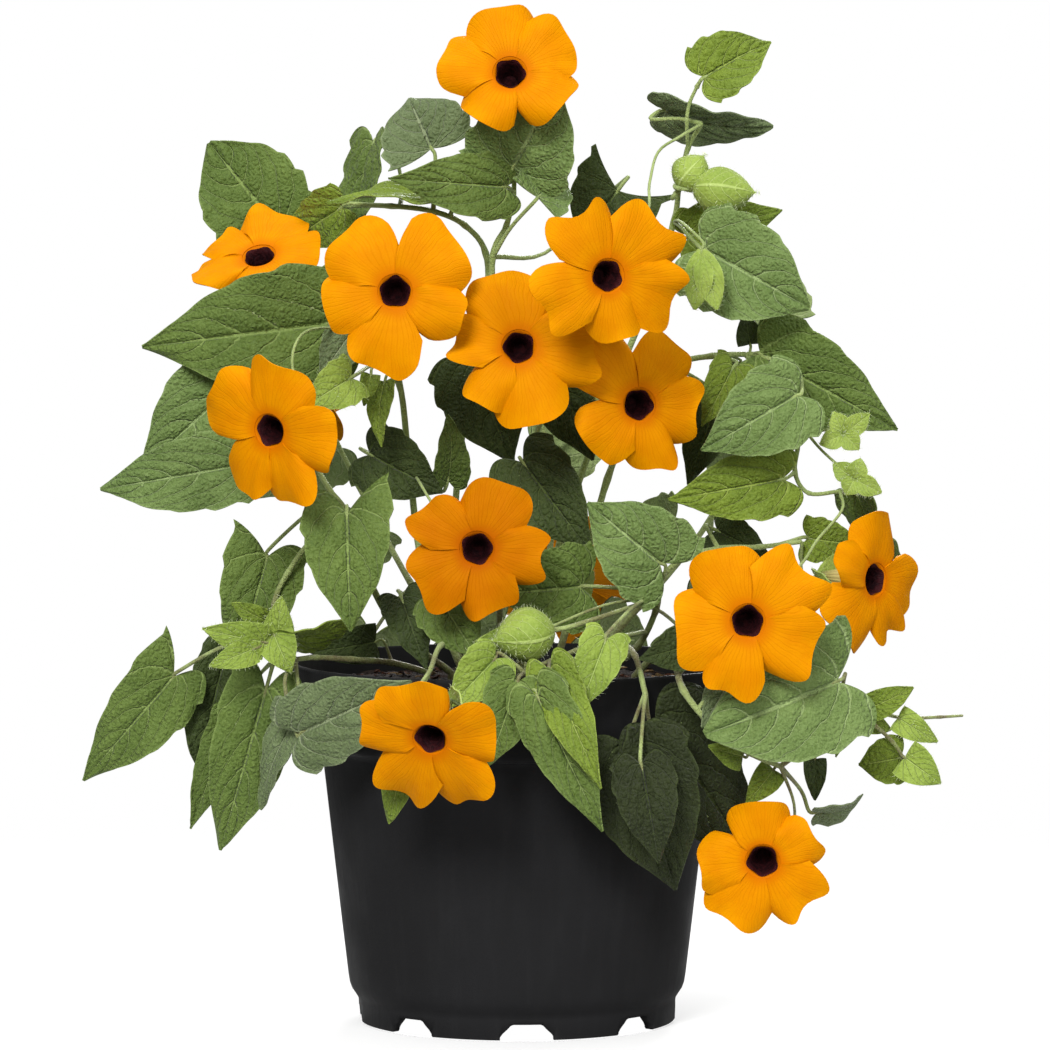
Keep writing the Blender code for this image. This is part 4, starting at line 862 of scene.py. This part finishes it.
    def closed_bud(self, start, base, tip, width, via=()):
        """A bud wrapped in two bracts pressed together, ribbed, with a short beak."""
        base, tip = seen(*base), seen(*tip)
        axis = (tip - base).normalized()
        length = (tip - base).length
        side = axis.cross(Vector((0.0, -1.0, 0.0))).normalized()
        front = side.cross(axis)
        loops, places, normals = [], [], []
        for row in range(BUD_ROWS):
            share = row / (BUD_ROWS - 1)
            swell = math.sin(math.pi * min(share * 1.02 + 0.05, 1.0) ** 0.85) ** 0.75
            swell *= 1.0 - 0.35 * max(0.0, share - 0.8) * 5.0
            loops.append([])
            normals.append([])
            for k in range(BUD_SIDES):
                angle = -math.tau * k / BUD_SIDES
                seam = abs(math.sin(angle)) ** 8
                rib = 0.035 * math.cos(12.0 * angle)
                arm = side * math.cos(angle) + front * math.sin(angle)
                reach = max(0.02, 0.5 * width * swell * (1.0 + rib + 0.05 * seam))
                loops[row].append(base + axis * length * share + arm * reach)
                normals[row].append(arm)
            places.append(share)
        self.rings([loop[::-1] for loop in loops], YOUNG, places)
        self.hairs([loop + loop[:1] for loop in loops], [row + row[:1] for row in normals],
                   0.6, BUD_HAIR_LENGTH)
        stops = [self.at(start)] + [seen(*p) for p in via]
        reach = min(0.35 * (base - stops[-1]).length, 7.0)
        line = smooth_line(stops + [base - axis * reach, base, base + axis * 2.0], 5)
        self.tube(line, [0.62 + 0.3 * i / len(line) for i in range(len(line))], STEM, 8)

    def calyx(self, start, centre, tips, width, via=()):
        """Bracts spread open like a star after a flower has dropped."""
        centre = seen(*centre)
        front = Vector((0.0, -1.0, 0.0))
        shapes = [blade_shape(centre, seen(*tip), front, width, 14.0, 1.0, bract=True)
                  for tip in tips]
        self.grow(start, shapes[0], via, YOUNG)
        for shape in shapes[1:]:
            self.blade(shape, YOUNG)

    def holds(self, start, bloom, spin=20.0, via=()):
        """The stalk of a bloom and the two bracts that clasp its tube."""
        seat = bloom.throat - bloom.out * (TUBE_LENGTH + BRACT_SEAT)
        shapes = []
        for turn in (spin, spin + 180.0):
            arm = bloom.place(1.0, math.radians(turn), 0.0) - bloom.throat
            tip = seat + bloom.out * BRACT_REACH + arm * BRACT_SPREAD
            shapes.append(blade_shape(seat, tip, arm, BRACT_WIDTH, 12.0, 1.6, bract=True))
        self.grow(start, shapes[0], via, YOUNG)
        self.blade(shapes[1], YOUNG)


# Leaf net: a midrib, side veins that sweep towards the tip, and a fine mesh of cells between
net, ends_in, ends_out = shared(
    "leaf_net", [("Place", "NodeSocketVector", None)],
    [("Vein", "NodeSocketFloat"), ("Cell", "NodeSocketFloat"), ("Edge", "NodeSocketFloat")])
parts = put(net, "SeparateXYZ", ends_in.outputs["Place"])
wander = placed(net, mottle, Scale=210.0, Detail=2.0).outputs[0]
away = sums(net, "ABSOLUTE", sums(net, "MULTIPLY_ADD", parts.outputs[0], 2.0, -1.0))
bowed = sums(net, "POWER", away, VEIN_BOW)
up = sums(net, "MULTIPLY_ADD", wander, 0.022, parts.outputs[1])
nearest = None
for start, slope in MAIN_VEINS:
    line = sums(net, "MULTIPLY_ADD", bowed, -slope, up)
    gap = sums(net, "ABSOLUTE", sums(net, "SUBTRACT", line, start + 0.011))
    nearest = gap if nearest is None else sums(net, "MINIMUM", nearest, gap)
fine = sums(net, "MULTIPLY_ADD", away, -0.008, 0.0165)
side_vein = fade(net, nearest, 0.002, fine, 0.85, 0.0)
rib = fade(net, away, 0.02, 0.065, 1.0, 0.0)
cells = put(net, "TexVoronoi", feature="DISTANCE_TO_EDGE")
net.links.new(put(net, "TexCoord").outputs["Object"], cells.inputs["Vector"])
cells.inputs["Scale"].default_value = 620.0
net.links.new(sums(net, "MAXIMUM", side_vein, rib), ends_out.inputs["Vein"])
net.links.new(fade(net, cells.outputs[0], 0.0, 0.55), ends_out.inputs["Cell"])
net.links.new(fade(net, away, 0.93, 1.0), ends_out.inputs["Edge"])


def leaf_finish(name, mid, deep, pale, roughness=0.56, veins=0.62, mesh=0.5, depth=0.0005):
    """Leaf skin: quilted between its veins, matt with a soft down, uneven in green."""
    material, tree, shader = finish(name, roughness, 0.2)
    place = put(tree, "UVMap", uv_map="place").outputs[0]
    vein, cell, edge = placed(tree, net, Place=place).outputs
    cloud = placed(tree, mottle, Scale=75.0, Detail=5.0).outputs[0]
    speck = placed(tree, mottle, Scale=1500.0, Detail=3.0).outputs[0]
    base = tint(tree, cloud, paint(*mid), paint(*deep))
    between = sums(tree, "MULTIPLY", sums(tree, "SUBTRACT", 1.0, cell), mesh)
    base = tint(tree, between, base, paint(*deep))
    base = tint(tree, sums(tree, "MULTIPLY", speck, 0.16), base, paint(*pale))
    base = tint(tree, sums(tree, "MULTIPLY", vein, veins), base, paint(*pale))
    base = tint(tree, sums(tree, "MULTIPLY", edge, 0.3), base, paint(*pale))
    dress(tree, shader, base, fade(tree, speck, 0.0, 1.0, roughness - 0.08, roughness + 0.1))
    shader.inputs["Sheen Weight"].default_value = 0.05
    shader.inputs["Sheen Roughness"].default_value = 0.45
    height = sums(tree, "MULTIPLY_ADD", vein, -1.1, cell)
    height = sums(tree, "MULTIPLY_ADD", speck, 0.3, height)
    relief(tree, shader, height, depth)
    return material


leaf_skins = [
    leaf_finish("leaf_mid", (97, 117, 50), (74, 94, 35), (142, 162, 92)),
    leaf_finish("leaf_light", (112, 134, 72), (88, 110, 52), (160, 180, 120)),
    # The next skin is a darker copy of the green: painted shade for leaves that sit in shadow.
    leaf_finish("leaf_shaded", (62, 76, 34), (44, 56, 22), (96, 112, 58), veins=0.5),
    leaf_finish("leaf_olive", (118, 138, 40), (92, 112, 28), (162, 180, 88)),
    leaf_finish("leaf_lime", (136, 157, 62), (110, 132, 42), (174, 194, 112), 0.6, 0.5, 0.2,
                0.0003),
    leaf_finish("leaf_grey", (108, 124, 82), (86, 102, 62), (156, 168, 130)),
    leaf_finish("leaf_underside", (132, 148, 92), (110, 128, 74), (166, 180, 126), 0.66, 0.7,
                0.25, 0.0004),
    leaf_finish("young_bract", (146, 166, 72), (118, 140, 50), (186, 204, 124), 0.62, 0.55, 0.1,
                0.00015),
    # The darkest copy of the green: painted shade for the leaves that hang face down over the pot.
    leaf_finish("leaf_deep_shade", (40, 48, 18), (28, 35, 11), (70, 82, 40), veins=0.4),
]

stem_skin, tree, shader = finish("stem_green", 0.5, 0.35)
cloud = placed(tree, mottle, Scale=130.0, Detail=4.0).outputs[0]
speck = placed(tree, mottle, Scale=1700.0, Detail=2.0).outputs[0]
height = put(tree, "SeparateXYZ", put(tree, "TexCoord").outputs["Object"]).outputs[2]
flush = sums(tree, "MULTIPLY", fade(tree, height, 0.108, 0.15, 0.8, 0.0), cloud)
base = tint(tree, cloud, paint(152, 168, 100), paint(126, 144, 76))
base = tint(tree, flush, base, paint(92, 66, 48))
base = tint(tree, sums(tree, "MULTIPLY", speck, 0.25), base, paint(166, 180, 118))
dress(tree, shader, base)
shader.inputs["Sheen Weight"].default_value = 0.15
relief(tree, shader, speck, 0.0002)

down, tree, shader = finish("white_down", 0.6, 0.3)
across, along = on_skin(tree)
dress(tree, shader, tint(tree, along, paint(186, 200, 140), paint(232, 236, 214)))
stem_skins = [stem_skin] + leaf_skins + [down]


def grown(stem):
    """The finished leafy stem, in place of its plain solid."""
    belongs(stem.made(stem.name + "_growth", stem_skins), "leaf", stem.name)


# The crown is the tallest stem. It goes up from the middle of the pot to the top bloom, with
# a broad leaf behind that bloom. The bloom in the middle leans forward on a long stalk.
stem = LeafyStem("stem_crown")
stem.shoot([(1, 98.5, 4), (2, 130, 8), (-2, 165, 12), (-6, 200, 8), (-7, 220, 2), (-3, 229, 0),
            (-1, 238, -1), (-1, 247, -2), (-2, 257, -3)], 1.7, 1.0)
stem.holds(8, bloom[1], spin=20)
stem.holds(2.8, bloom[5])
stem.leaf(7, (-1, 246, -8), (12.5, 271, -21), 34, lobe=0.12, ear=(0.1, 0.1), tone=LIGHT)
stem.leaf(6, (-4, 240, -6), (-37.5, 242.5, -14), 21, taper=1.15)
stem.small_leaf(4, (6, 237, -10), (11, 243, 6), 19, ear=(0.25, 0.3), tone=LIGHT)
stem.leaf(4, (29, 239, 14), (18, 224, 18), 28, ear=(0.45, 0.4), via=[(8, 221, 18), (24, 236, 26)],
          tone=SHADED)
stem.leaf(2.5, (-12, 189, 8), (-1, 160, 2), 30, roll=10, tone=SHADED)
grown(stem)

# This stem rises behind the crown and arches over to the left, with a raised leaf at its
# end. Two of its leaves are seen nearly edge-on.
stem = LeafyStem("stem_arch")
stem.shoot([(-12, 98.5, 12), (-18, 135, 24), (-15, 175, 28), (-9, 206, 19), (-9, 221, 10),
            (-15, 229, 5), (-24, 233, 3), (-36, 234.5, 4), (-48, 234.5, 14), (-57, 232, 26),
            (-65, 229, 33)], 1.6, 1.0)
stem.leaf(6, (-24.5, 251, 6), (-31, 265.5, 16), 29, lobe=0.12, ear=(0.12, 0.05), tone=GREY)
stem.leaf(5.5, (-20, 236, 1), (-55, 235.5, -3), 20, roll=75, tone=OLIVE)
stem.leaf(6.8, (-41, 252, 26), (-45.5, 220, 24), 26, roll=62,
          via=[(-33, 241, 14), (-36, 252, 22)])
stem.leaf(7.2, (-50.5, 234, 10), (-66, 224, 30), 17.5, ear=(0.12, 0.12), tone=OLIVE)
stem.leaf(10, (-70, 230, 34), (-88.5, 253, 38), 32, taper=0.85)
grown(stem)

# This stem leans left high over the rim and spreads the two widest leaves on that side.
# Four blooms stand forward of it on long stalks.
stem = LeafyStem("stem_upper_left")
stem.shoot([(-16, 98.5, 0), (-27, 130, 6), (-31, 160, 6), (-34, 184, 0), (-41, 190, -4),
            (-49, 196, -2), (-58, 198, 8)], 1.7, 1.1)
stem.holds(3.3, bloom[3])
stem.holds(6, bloom[2], via=[(-66, 197, 18)])
stem.holds(5, bloom[4], via=[(-54, 199.5, -22), (-62, 197.5, -34), (-64.5, 188, -40)])
stem.holds(2, bloom[8], via=[(-28, 155, -18), (-23, 147, -30)])
stem.leaf(5, (-53, 201, -13), (-108.5, 194, -8), 38, lobe=0.12, bend=3)
stem.leaf(5, (-78, 186, -4), (-109, 158, -1), 32, via=[(-62, 192, 2)], tone=LIGHT)
stem.small_leaf(4, (-47, 199, -16), (-57, 185, -20), 15, tone=GREY)
stem.small_leaf(3.5, (-48, 185, -32), (-61, 177, -34), 15, tone=LIME)
stem.small_leaf(3.2, (-38, 184, -20), (-39, 165, -26), 9, roll=30, tone=OLIVE)
stem.small_leaf(3.3, (-42, 186, -22), (-44, 177, -24), 6, tone=OLIVE)
stem.small_leaf(2, (-20, 156, -4), (-20, 175, -6), 13, roll=30)
stem.leaf(1.8, (-42, 163, -8), (-21, 152, -12), 22, tone=SHADED)
grown(stem)

# This stem leans out low to the left. A branch and a second stem over the rim carry the
# cluster of young leaves and the long leaves that hang beside the pot.
stem = LeafyStem("stem_lower_left")
stem.shoot([(-19, 98.5, -10), (-34, 112, -22), (-44, 130, -30), (-49, 146, -34), (-54, 153, -34),
            (-58, 160, -30)], 1.7, 1.1)
stem.shoot([(-58, 139, -30), (-66, 129, -27), (-70, 120, -27), (-69, 111, -30), (-70, 104, -28)],
           1.3, 1.0, start=(0, 2.6))
stem.leaf(3, (-49, 146, -50), (-48, 111.5, -58), 27, lobe=0.2, ear=(0.33, 0.1))
stem.leaf(3.6, (-72, 133.5, -22), (-81, 101, -24), 25, ear=(0.08, 0.24))
stem.leaf(5, (-80, 160, -20), (-120.5, 153, -14), 23, taper=0.95, tone=LIGHT)
stem.leaf((1, 5), (-72.5, 95, -28), (-86, 48, -22), 24, ear=(0.02, 0.14), taper=0.95)
stem.leaf((1, 4), (-99, 99, -14), (-125.5, 68.5, -6), 24, ear=(0.0, 0.25), via=[(-84, 108, -26)])
stem.leaf((1, 4.4), (-84, 106, -8), (-92, 73, -8), 15, taper=0.6, tone=SHADED)
stem.small_leaf((1, 5), (-83, 85, -13), (-94.5, 54.5, -11), 13)
stem.small_leaf((1, 4), (-73, 109, -38), (-91, 113, -42), 11)
stem.small_leaf((1, 4), (-76, 107, -40), (-89, 102, -43), 9)
stem.small_leaf((1, 4), (-69, 109, -34), (-68, 122.5, -36), 10, tone=LIME)
stem.small_leaf((1, 3.6), (-70, 111, -36), (-65, 100, -38), 12, tone=LIME)
stem.small_leaf((1, 3.4), (-72, 115, -33), (-82.5, 120.5, -33), 7, tone=OLIVE)

# A second stem of the lower left runs low over the compost and out over the rim
stem.shoot([(-26, 98.5, -8), (-36, 103, -14), (-48, 104, -20), (-58, 104.5, -24),
            (-64, 104, -30)], 1.5, 1.1)
stem.leaf((2, 4), (-62, 83, -46), (-30, 98, -62), 26, via=[(-67, 97, -40)], tone=GREY)
stem.small_leaf((2, 4), (-65, 111, -30), (-46, 117, -36), 18, roll=60, tone=OLIVE)
stem.small_leaf((2, 1), (-41, 109, -12), (-60, 106, -18), 12, tone=SHADED)
stem.leaf((2, 4), (-64, 86, -38), (-74, 60, -32), 14, roll=50, tone=GREY)
grown(stem)

# A short stem bends over the rim at the left of the front.
# Its bloom hangs against the pot, with a leaf tip showing under it.
stem = LeafyStem("stem_front_left")
stem.shoot([(-11, 98.5, -26), (-17, 108, -38), (-22, 108, -52), (-25, 101, -64)], 1.5, 1.1)
stem.holds(3, bloom[11], via=[(-29, 94, -74)])
stem.small_leaf(3, (-32, 80, -74), (-37, 56, -72), 12, tone=OLIVE)
stem.leaf(1.5, (-22, 121, -44), (-10.5, 103.5, -52), 19)
stem.small_leaf(1, (-33, 121, -34), (-26, 101, -42), 14, tone=SHADED)
grown(stem)

# The youngest stems bend forward over the rim, downy and pale.
# They carry one closed bud, and narrow leaves that hang down in front.
stem = LeafyStem("stem_front")
stem.shoot([(26, 98.5, -8), (35, 108, -24), (40, 118, -36), (41, 124, -40)], 1.6, 1.2)
stem.shoot([(28, 110, -46), (17, 106.5, -58), (5, 101.5, -64), (-3, 97, -68)], 1.2, 0.9,
           start=(0, 1.4))
stem.leaf(3, (41, 132, -46), (20, 149.5, -46), 29, lobe=0.25, ear=(0.2, 0.2), tone=LIGHT)
stem.leaf(2.5, (18, 125, -38), (-7, 123, -40), 27, lobe=0.2, ear=(0.15, 0.15))
stem.closed_bud(2.6, (10, 112.5, -58), (-8, 109, -64), 15)
stem.small_leaf(2.6, (3, 111, -56), (-12.5, 109, -58), 9)
stem.leaf(2.8, (25.5, 109.5, -66), (17.5, 88.5, -70), 14.5, ear=(0.12, 0.1), tone=LIME)
stem.leaf((1, 3.3), (-6.5, 104, -67), (-20, 90, -70), 17, fold=22, tone=LIME)
stem.leaf((1, 3.3), (0, 97, -71), (-8.5, 72.5, -73), 17)
stem.leaf((1, 2.6), (10, 100, -70), (24.5, 66, -86), 15, tone=OLIVE)
stem.leaf((1, 4), (6, 93, -74), (25, 53.5, -80), 19)
grown(stem)

# A short stem bends over the rim at the right of the front.
# It hangs three large shaded leaves on the pot, one over another.
stem = LeafyStem("stem_front_right")
stem.shoot([(22, 98.5, -26), (30, 107, -40), (34, 105, -52), (37, 94, -60)], 1.6, 1.2)
stem.leaf(3, (40, 84, -59), (66, 45, -42), 36, roll=-28, bend=4, tone=DEEP_SHADE)
stem.leaf(3, (33, 78, -66), (46, 36.5, -64), 34, bend=3, tone=DEEP_SHADE)
stem.leaf(3, (36, 73, -76), (41, 44.5, -78), 19, tone=DEEP_SHADE)
grown(stem)

# This stem passes over the rim at the right behind the broad veined leaf, with two fine
# side shoots of small leaves. The lowest bloom hangs from its end.
stem = LeafyStem("stem_lower_right")
stem.shoot([(34, 98.5, -20), (41, 106, -32), (45, 105, -50), (48, 95, -66), (57, 84, -68),
            (67, 77, -66), (76, 73, -60)], 1.7, 1.2)
stem.shoot([(86, 81, -54), (97, 89, -52), (104, 88.5, -48), (112, 87, -42), (122, 87.3, -34),
            (128.5, 87.7, -28)], 1.2, 0.6, start=(0, 6))
stem.shoot([(103, 85, -50), (108.5, 80, -48), (111.5, 75.5, -47)], 0.9, 0.8, start=(1, 2))
stem.leaf(6, (92, 97.5, -66), (53.5, 82, -76), 35, taper=0.8, lobe=0.18, ear=(0.1, 0.2), bend=3,
          via=[(90, 84, -58)], tone=LIGHT)
stem.leaf(2.6, (52, 109, -60), (35, 104, -64), 15, tone=SHADED)
stem.small_leaf(3.5, (62, 99, -58), (53, 84, -70), 14, tone=GREY)
stem.small_leaf(5, (65, 76, -63), (55, 79, -67), 9, tone=OLIVE)
stem.small_leaf((1, 2.5), (102, 90, -48), (114.5, 96, -48), 9, tone=OLIVE)
stem.small_leaf((1, 3.6), (110, 87, -46), (121.5, 80, -46), 8.5)
stem.small_leaf((2, 3), (112, 75.5, -49), (122.5, 68, -50), 12, tone=LIME)
stem.small_leaf((2, 3), (110.5, 75.5, -44), (98.5, 73.5, -41), 15, tone=OLIVE)
stem.small_leaf((1, 2), (99, 87, -46), (108, 83.5, -44), 7, tone=OLIVE)
stem.small_leaf((1, 2), (99, 86, -50), (92, 75.5, -52), 8, roll=60, tone=OLIVE)
stem.small_leaf(6, (86, 75, -46), (86, 63, -46), 7, tone=SHADED)
stem.small_leaf(6, (87, 60, -44), (100, 65, -42), 16, roll=65, via=[(82, 66, -46)], tone=GREY)
stem.small_leaf(6, (74, 72, -56), (66, 62, -56), 9, tone=OLIVE)
stem.holds(6, bloom[12], via=[(80, 62, -50), (79, 53, -44)])
grown(stem)

# A thin stem runs out to the right at half height.
# It ends in the bloom that is seen from its side.
stem = LeafyStem("stem_middle_right")
stem.shoot([(20, 98.5, 0), (34, 118, -2), (46, 132, -8), (58, 136, -12), (70, 136.5, -14),
            (82, 138, -16)], 1.5, 1.0)
stem.small_leaf(4.5, (84, 139, -12), (99, 137, -8), 14, tone=OLIVE)
stem.small_leaf(3, (58, 141, -6), (73, 134, -8), 14, tone=SHADED)
stem.holds(5, bloom[10], via=[(82, 130, -14)])
grown(stem)

# This stem leans right above the middle and carries two blooms and the right-hand leaves.
# Two calyces on its side shoot have dropped their flowers.
stem = LeafyStem("stem_upper_right")
stem.shoot([(11, 98.5, 8), (19, 130, 8), (26, 156, 2), (33, 172, 2), (45, 188, -2),
            (56, 191.5, -6), (68, 192, -10)], 1.7, 1.2)
stem.shoot([(79, 178, -16), (81, 168, -18), (80, 158, -18), (84, 152, -20), (93, 152.5, -24)],
           1.2, 0.9, start=(0, 5.8))
stem.holds(3, bloom[7], via=[(27, 176, -8)])
stem.holds((1, 5), bloom[9], via=[(93.5, 147, -28), (86.5, 138.5, -38), (80.5, 130, -48)])
stem.leaf(6, (70, 192, -12), (110, 170, -10), 30, lobe=0.1, ear=(0.1, 0.1), bend=4)
stem.leaf(6, (80, 180, -32), (52.5, 164, -36), 27, via=[(80, 188, -20)], tone=LIGHT)
stem.leaf((1, 3), (76, 156, -22), (43, 150, -28), 22, tone=OLIVE)
stem.small_leaf(4, (57, 178, -2), (49, 154, -6), 16, tone=SHADED)
stem.small_leaf(5, (62, 188, -14), (53, 171, -18), 13, tone=OLIVE)
stem.small_leaf(5.4, (63, 189, -3), (55, 181, -3), 10, tone=SHADED)
stem.small_leaf(5.9, (67, 195, -8), (65.5, 204, -7), 8, tone=SHADED)
stem.calyx((1, 2), (94, 169, -26),
           [(87, 166, -27), (91, 175.5, -27), (101.5, 175, -28), (98.5, 164.5, -28)], 6.5)
stem.calyx((1, 1.5), (97, 156, -28),
           [(91, 160.5, -28), (99, 162, -29), (105, 152, -30), (94.5, 151.5, -29)], 6.5,
           via=[(88, 164, -22)])
stem.small_leaf((1, 5), (98.5, 151, -10), (112, 132, -4), 18, roll=60)
grown(stem)

# This stem climbs high at the right, to a pale folded leaf on a short side shoot.
# Two closed buds, an empty calyx and one bloom hang from it.
stem = LeafyStem("stem_top_right")
stem.shoot([(5, 98.5, 16), (13, 140, 22), (26, 178, 22), (38, 208, 14), (45, 230, 4),
            (46.5, 240, -2), (49, 251, -4), (53, 258, -6)], 1.7, 1.0)
stem.shoot([(48.7, 259, -9), (49.5, 264, -10), (51.5, 268.5, -11)], 0.9, 0.8, start=(0, 6))
stem.leaf((1, 3), (54, 271.5, -13), (73, 281.5, -8), 21, fold=16, roll=-14, tone=OLIVE)
stem.leaf(7, (43, 262, 2), (74, 257.5, -4), 22, roll=58, ear=(0.1, 0.1), taper=0.9, tone=GREY)
stem.closed_bud(5, (47, 240, -14), (54, 249.5, -18), 11)
stem.closed_bud(5.2, (51, 239.5, -18), (69.5, 238.3, -22), 13)
stem.holds(7, bloom[6], via=[(47, 254.5, -12), (40.5, 250, -20), (38, 241, -28), (36, 230, -40)])
stem.leaf(4, (54, 222, -22), (84.5, 205, -26), 31, taper=0.9, via=[(47, 228.5, -16)], tone=LIGHT)
stem.leaf(3.8, (50, 226, 0), (76.5, 233.5, 0), 18, tone=OLIVE)
stem.calyx(4, (53, 222, -34), [(51, 204.5, -36), (57.5, 204.5, -36)], 9, via=[(47, 230, -24)])
grown(stem)

# A short stem stands in the middle, low behind the front blooms.
# Its two shaded leaves fill the gap between the flowers.
stem = LeafyStem("stem_centre")
stem.shoot([(-4, 98.5, -8), (-5, 125, -14), (-1, 148, -10), (2, 160, -6), (8, 176, -4),
            (10, 190, 2)], 1.5, 1.0)
stem.leaf(3, (2, 160.5, -14), (22, 134, -22), 24, tone=SHADED)
stem.leaf(5, (11, 188, 6), (22, 161, 2), 24, tone=SHADED)
grown(stem)

# Three stems fill the back of the plant, and turn their leaves away from the front.
# The first leans left and carries one bloom.
stem = LeafyStem("stem_back_left")
stem.shoot([(-14, 98.5, 24), (-30, 125, 40), (-46, 155, 54), (-58, 180, 58), (-64, 200, 52)], 1.6,
           1.0)
stem.leaf(3, (-72, 185, 50), (-98, 170, 62), 26, roll=180, tone=SHADED)
stem.leaf(2.5, (-54, 165, 70), (-76, 150, 92), 24, roll=180)
stem.small_leaf(4, (-62, 207, 60), (-84, 200, 74), 24, roll=180, tone=LIGHT)
stem.small_leaf(1.5, (-44, 140, 58), (-55, 122, 80), 22, roll=180)
stem.small_leaf(1, (-42, 110, 62), (-50, 80, 86), 22, roll=180, tone=OLIVE)
stem.holds(3, bloom[13])
grown(stem)

# The second leans straight back over the rim.
# It carries one bloom and a leaf that hangs against the pot.
stem = LeafyStem("stem_back_middle")
stem.shoot([(2, 98.5, 30), (8, 125, 52), (10, 150, 64), (6, 180, 62), (2, 205, 50)], 1.6, 1.0)
stem.leaf(2.5, (12, 165, 76), (30, 180, 98), 26, roll=180, tone=LIGHT)
stem.small_leaf(3, (0, 182, 74), (-12, 200, 92), 20, roll=180, tone=OLIVE)
stem.small_leaf(1, (-4, 115, 70), (-24, 108, 94), 24, roll=180)
stem.small_leaf(1, (24, 112, 72), (40, 100, 96), 24, roll=180, tone=SHADED)
stem.leaf(1, (2, 104, 70), (4, 72, 92), 24, roll=180)
stem.holds(1.4, bloom[14])
stem.leaf(3.5, (10, 206, 62), (30, 196, 80), 24, roll=180)
grown(stem)

# The third leans right and has leaves only.
# They hang apart from each other down its length.
stem = LeafyStem("stem_back_right")
stem.shoot([(16, 98.5, 22), (36, 120, 38), (56, 145, 50), (68, 170, 52), (74, 196, 44)], 1.6, 1.0)
stem.leaf(4, (76, 190, 58), (98, 182, 72), 24, roll=180)
stem.small_leaf(3, (64, 165, 62), (66, 146, 84), 24, roll=180, tone=LIGHT)
stem.small_leaf(4, (74, 205, 50), (70, 224, 66), 24, roll=180)
stem.leaf(2, (58, 130, 60), (76, 116, 82), 26, roll=180, tone=SHADED)
stem.small_leaf(1, (50, 110, 58), (64, 88, 80), 24, roll=180)
stem.small_leaf(1.6, (44, 142, 66), (28, 140, 90), 22, roll=180)
grown(stem)

# The studio: a wide pale floor under an even white sky, a broad soft light from the front
# left, weaker ones from the right, above and behind. The camera stands where the plant was
# seen from.
FLOOR_RADIUS = 2.0
FLOOR_SIDES = 64
FLOOR_LEVEL = -0.0004
SHADOW_SHARE = 0.5
mesh = bpy.data.meshes.new("floor")
turns = [math.tau * k / FLOOR_SIDES for k in range(FLOOR_SIDES)]
rim = [(FLOOR_RADIUS * math.cos(a), FLOOR_RADIUS * math.sin(a), FLOOR_LEVEL) for a in turns]
mesh.from_pydata(rim, [], [tuple(range(FLOOR_SIDES))])
floor = bpy.data.objects.new("floor", mesh)
bpy.context.scene.collection.objects.link(floor)
pale, tree, shader = finish("pale_floor", 0.9, 0.1)
cloud = placed(tree, mottle, Scale=3.0, Detail=3.0).outputs[0]
share = sums(tree, "MULTIPLY", cloud, 0.15)
dress(tree, shader, tint(tree, share, paint(252, 252, 252), paint(248, 248, 247)))
away = put(tree, "VectorMath", put(tree, "TexCoord").outputs["Object"], operation="LENGTH")
edge = fade(tree, away.outputs["Value"], 0.1, 0.5, SHADOW_SHARE, 0.0)
hollow = fade(tree, away.outputs["Value"], 0.044, 0.046)
tree.links.new(sums(tree, "MULTIPLY", edge, hollow), shader.inputs["Alpha"])
mesh.materials.append(pale)

sky = bpy.data.worlds.new("sky")
sky.use_nodes = True
tree = sky.node_tree
tree.nodes["Background"].inputs["Color"].default_value = (1.0, 1.0, 1.0, 1.0)
seen_white = put(tree, "LightPath").outputs["Is Camera Ray"]
height = put(tree, "SeparateXYZ", put(tree, "TexCoord").outputs["Generated"]).outputs[2]
dome = fade(tree, height, -0.1, 0.8, 0.2, 0.85)
strength = sums(tree, "MAXIMUM", dome, seen_white)
tree.links.new(strength, tree.nodes["Background"].inputs["Strength"])
bpy.context.scene.world = sky
bpy.context.scene.view_settings.view_transform = "Standard"


def soft_light(name, place, size, power):
    """A broad soft light that faces the plant."""
    light = bpy.data.lights.new(name, "AREA")
    light.shape = "DISK"
    light.size = size
    light.energy = power
    item = bpy.data.objects.new(name, light)
    item.location = place
    aim = Vector((0.0, 0.0, 0.15)) - Vector(place)
    item.rotation_euler = aim.to_track_quat("-Z", "Y").to_euler()
    bpy.context.scene.collection.objects.link(item)


soft_light("key", (-0.6, -2.2, 1.5), 0.9, 66.0)
soft_light("fill", (1.1, -1.9, 0.7), 0.9, 16.0)
soft_light("top", (0.1, 0.3, 2.0), 1.0, 12.0)
soft_light("back", (0.4, 2.2, 1.2), 0.9, 36.0)

lens = bpy.data.cameras.new("camera")
lens.lens = 204.6
lens.sensor_width = 36.0
lens.clip_end = 20.0
camera = bpy.data.objects.new("camera", lens)
camera.location = VIEWPOINT * MM
aim = Vector((2.3, 0.0, 142.8)) - VIEWPOINT
camera.rotation_euler = aim.to_track_quat("-Z", "Y").to_euler()
bpy.context.scene.collection.objects.link(camera)
bpy.context.scene.camera = camera
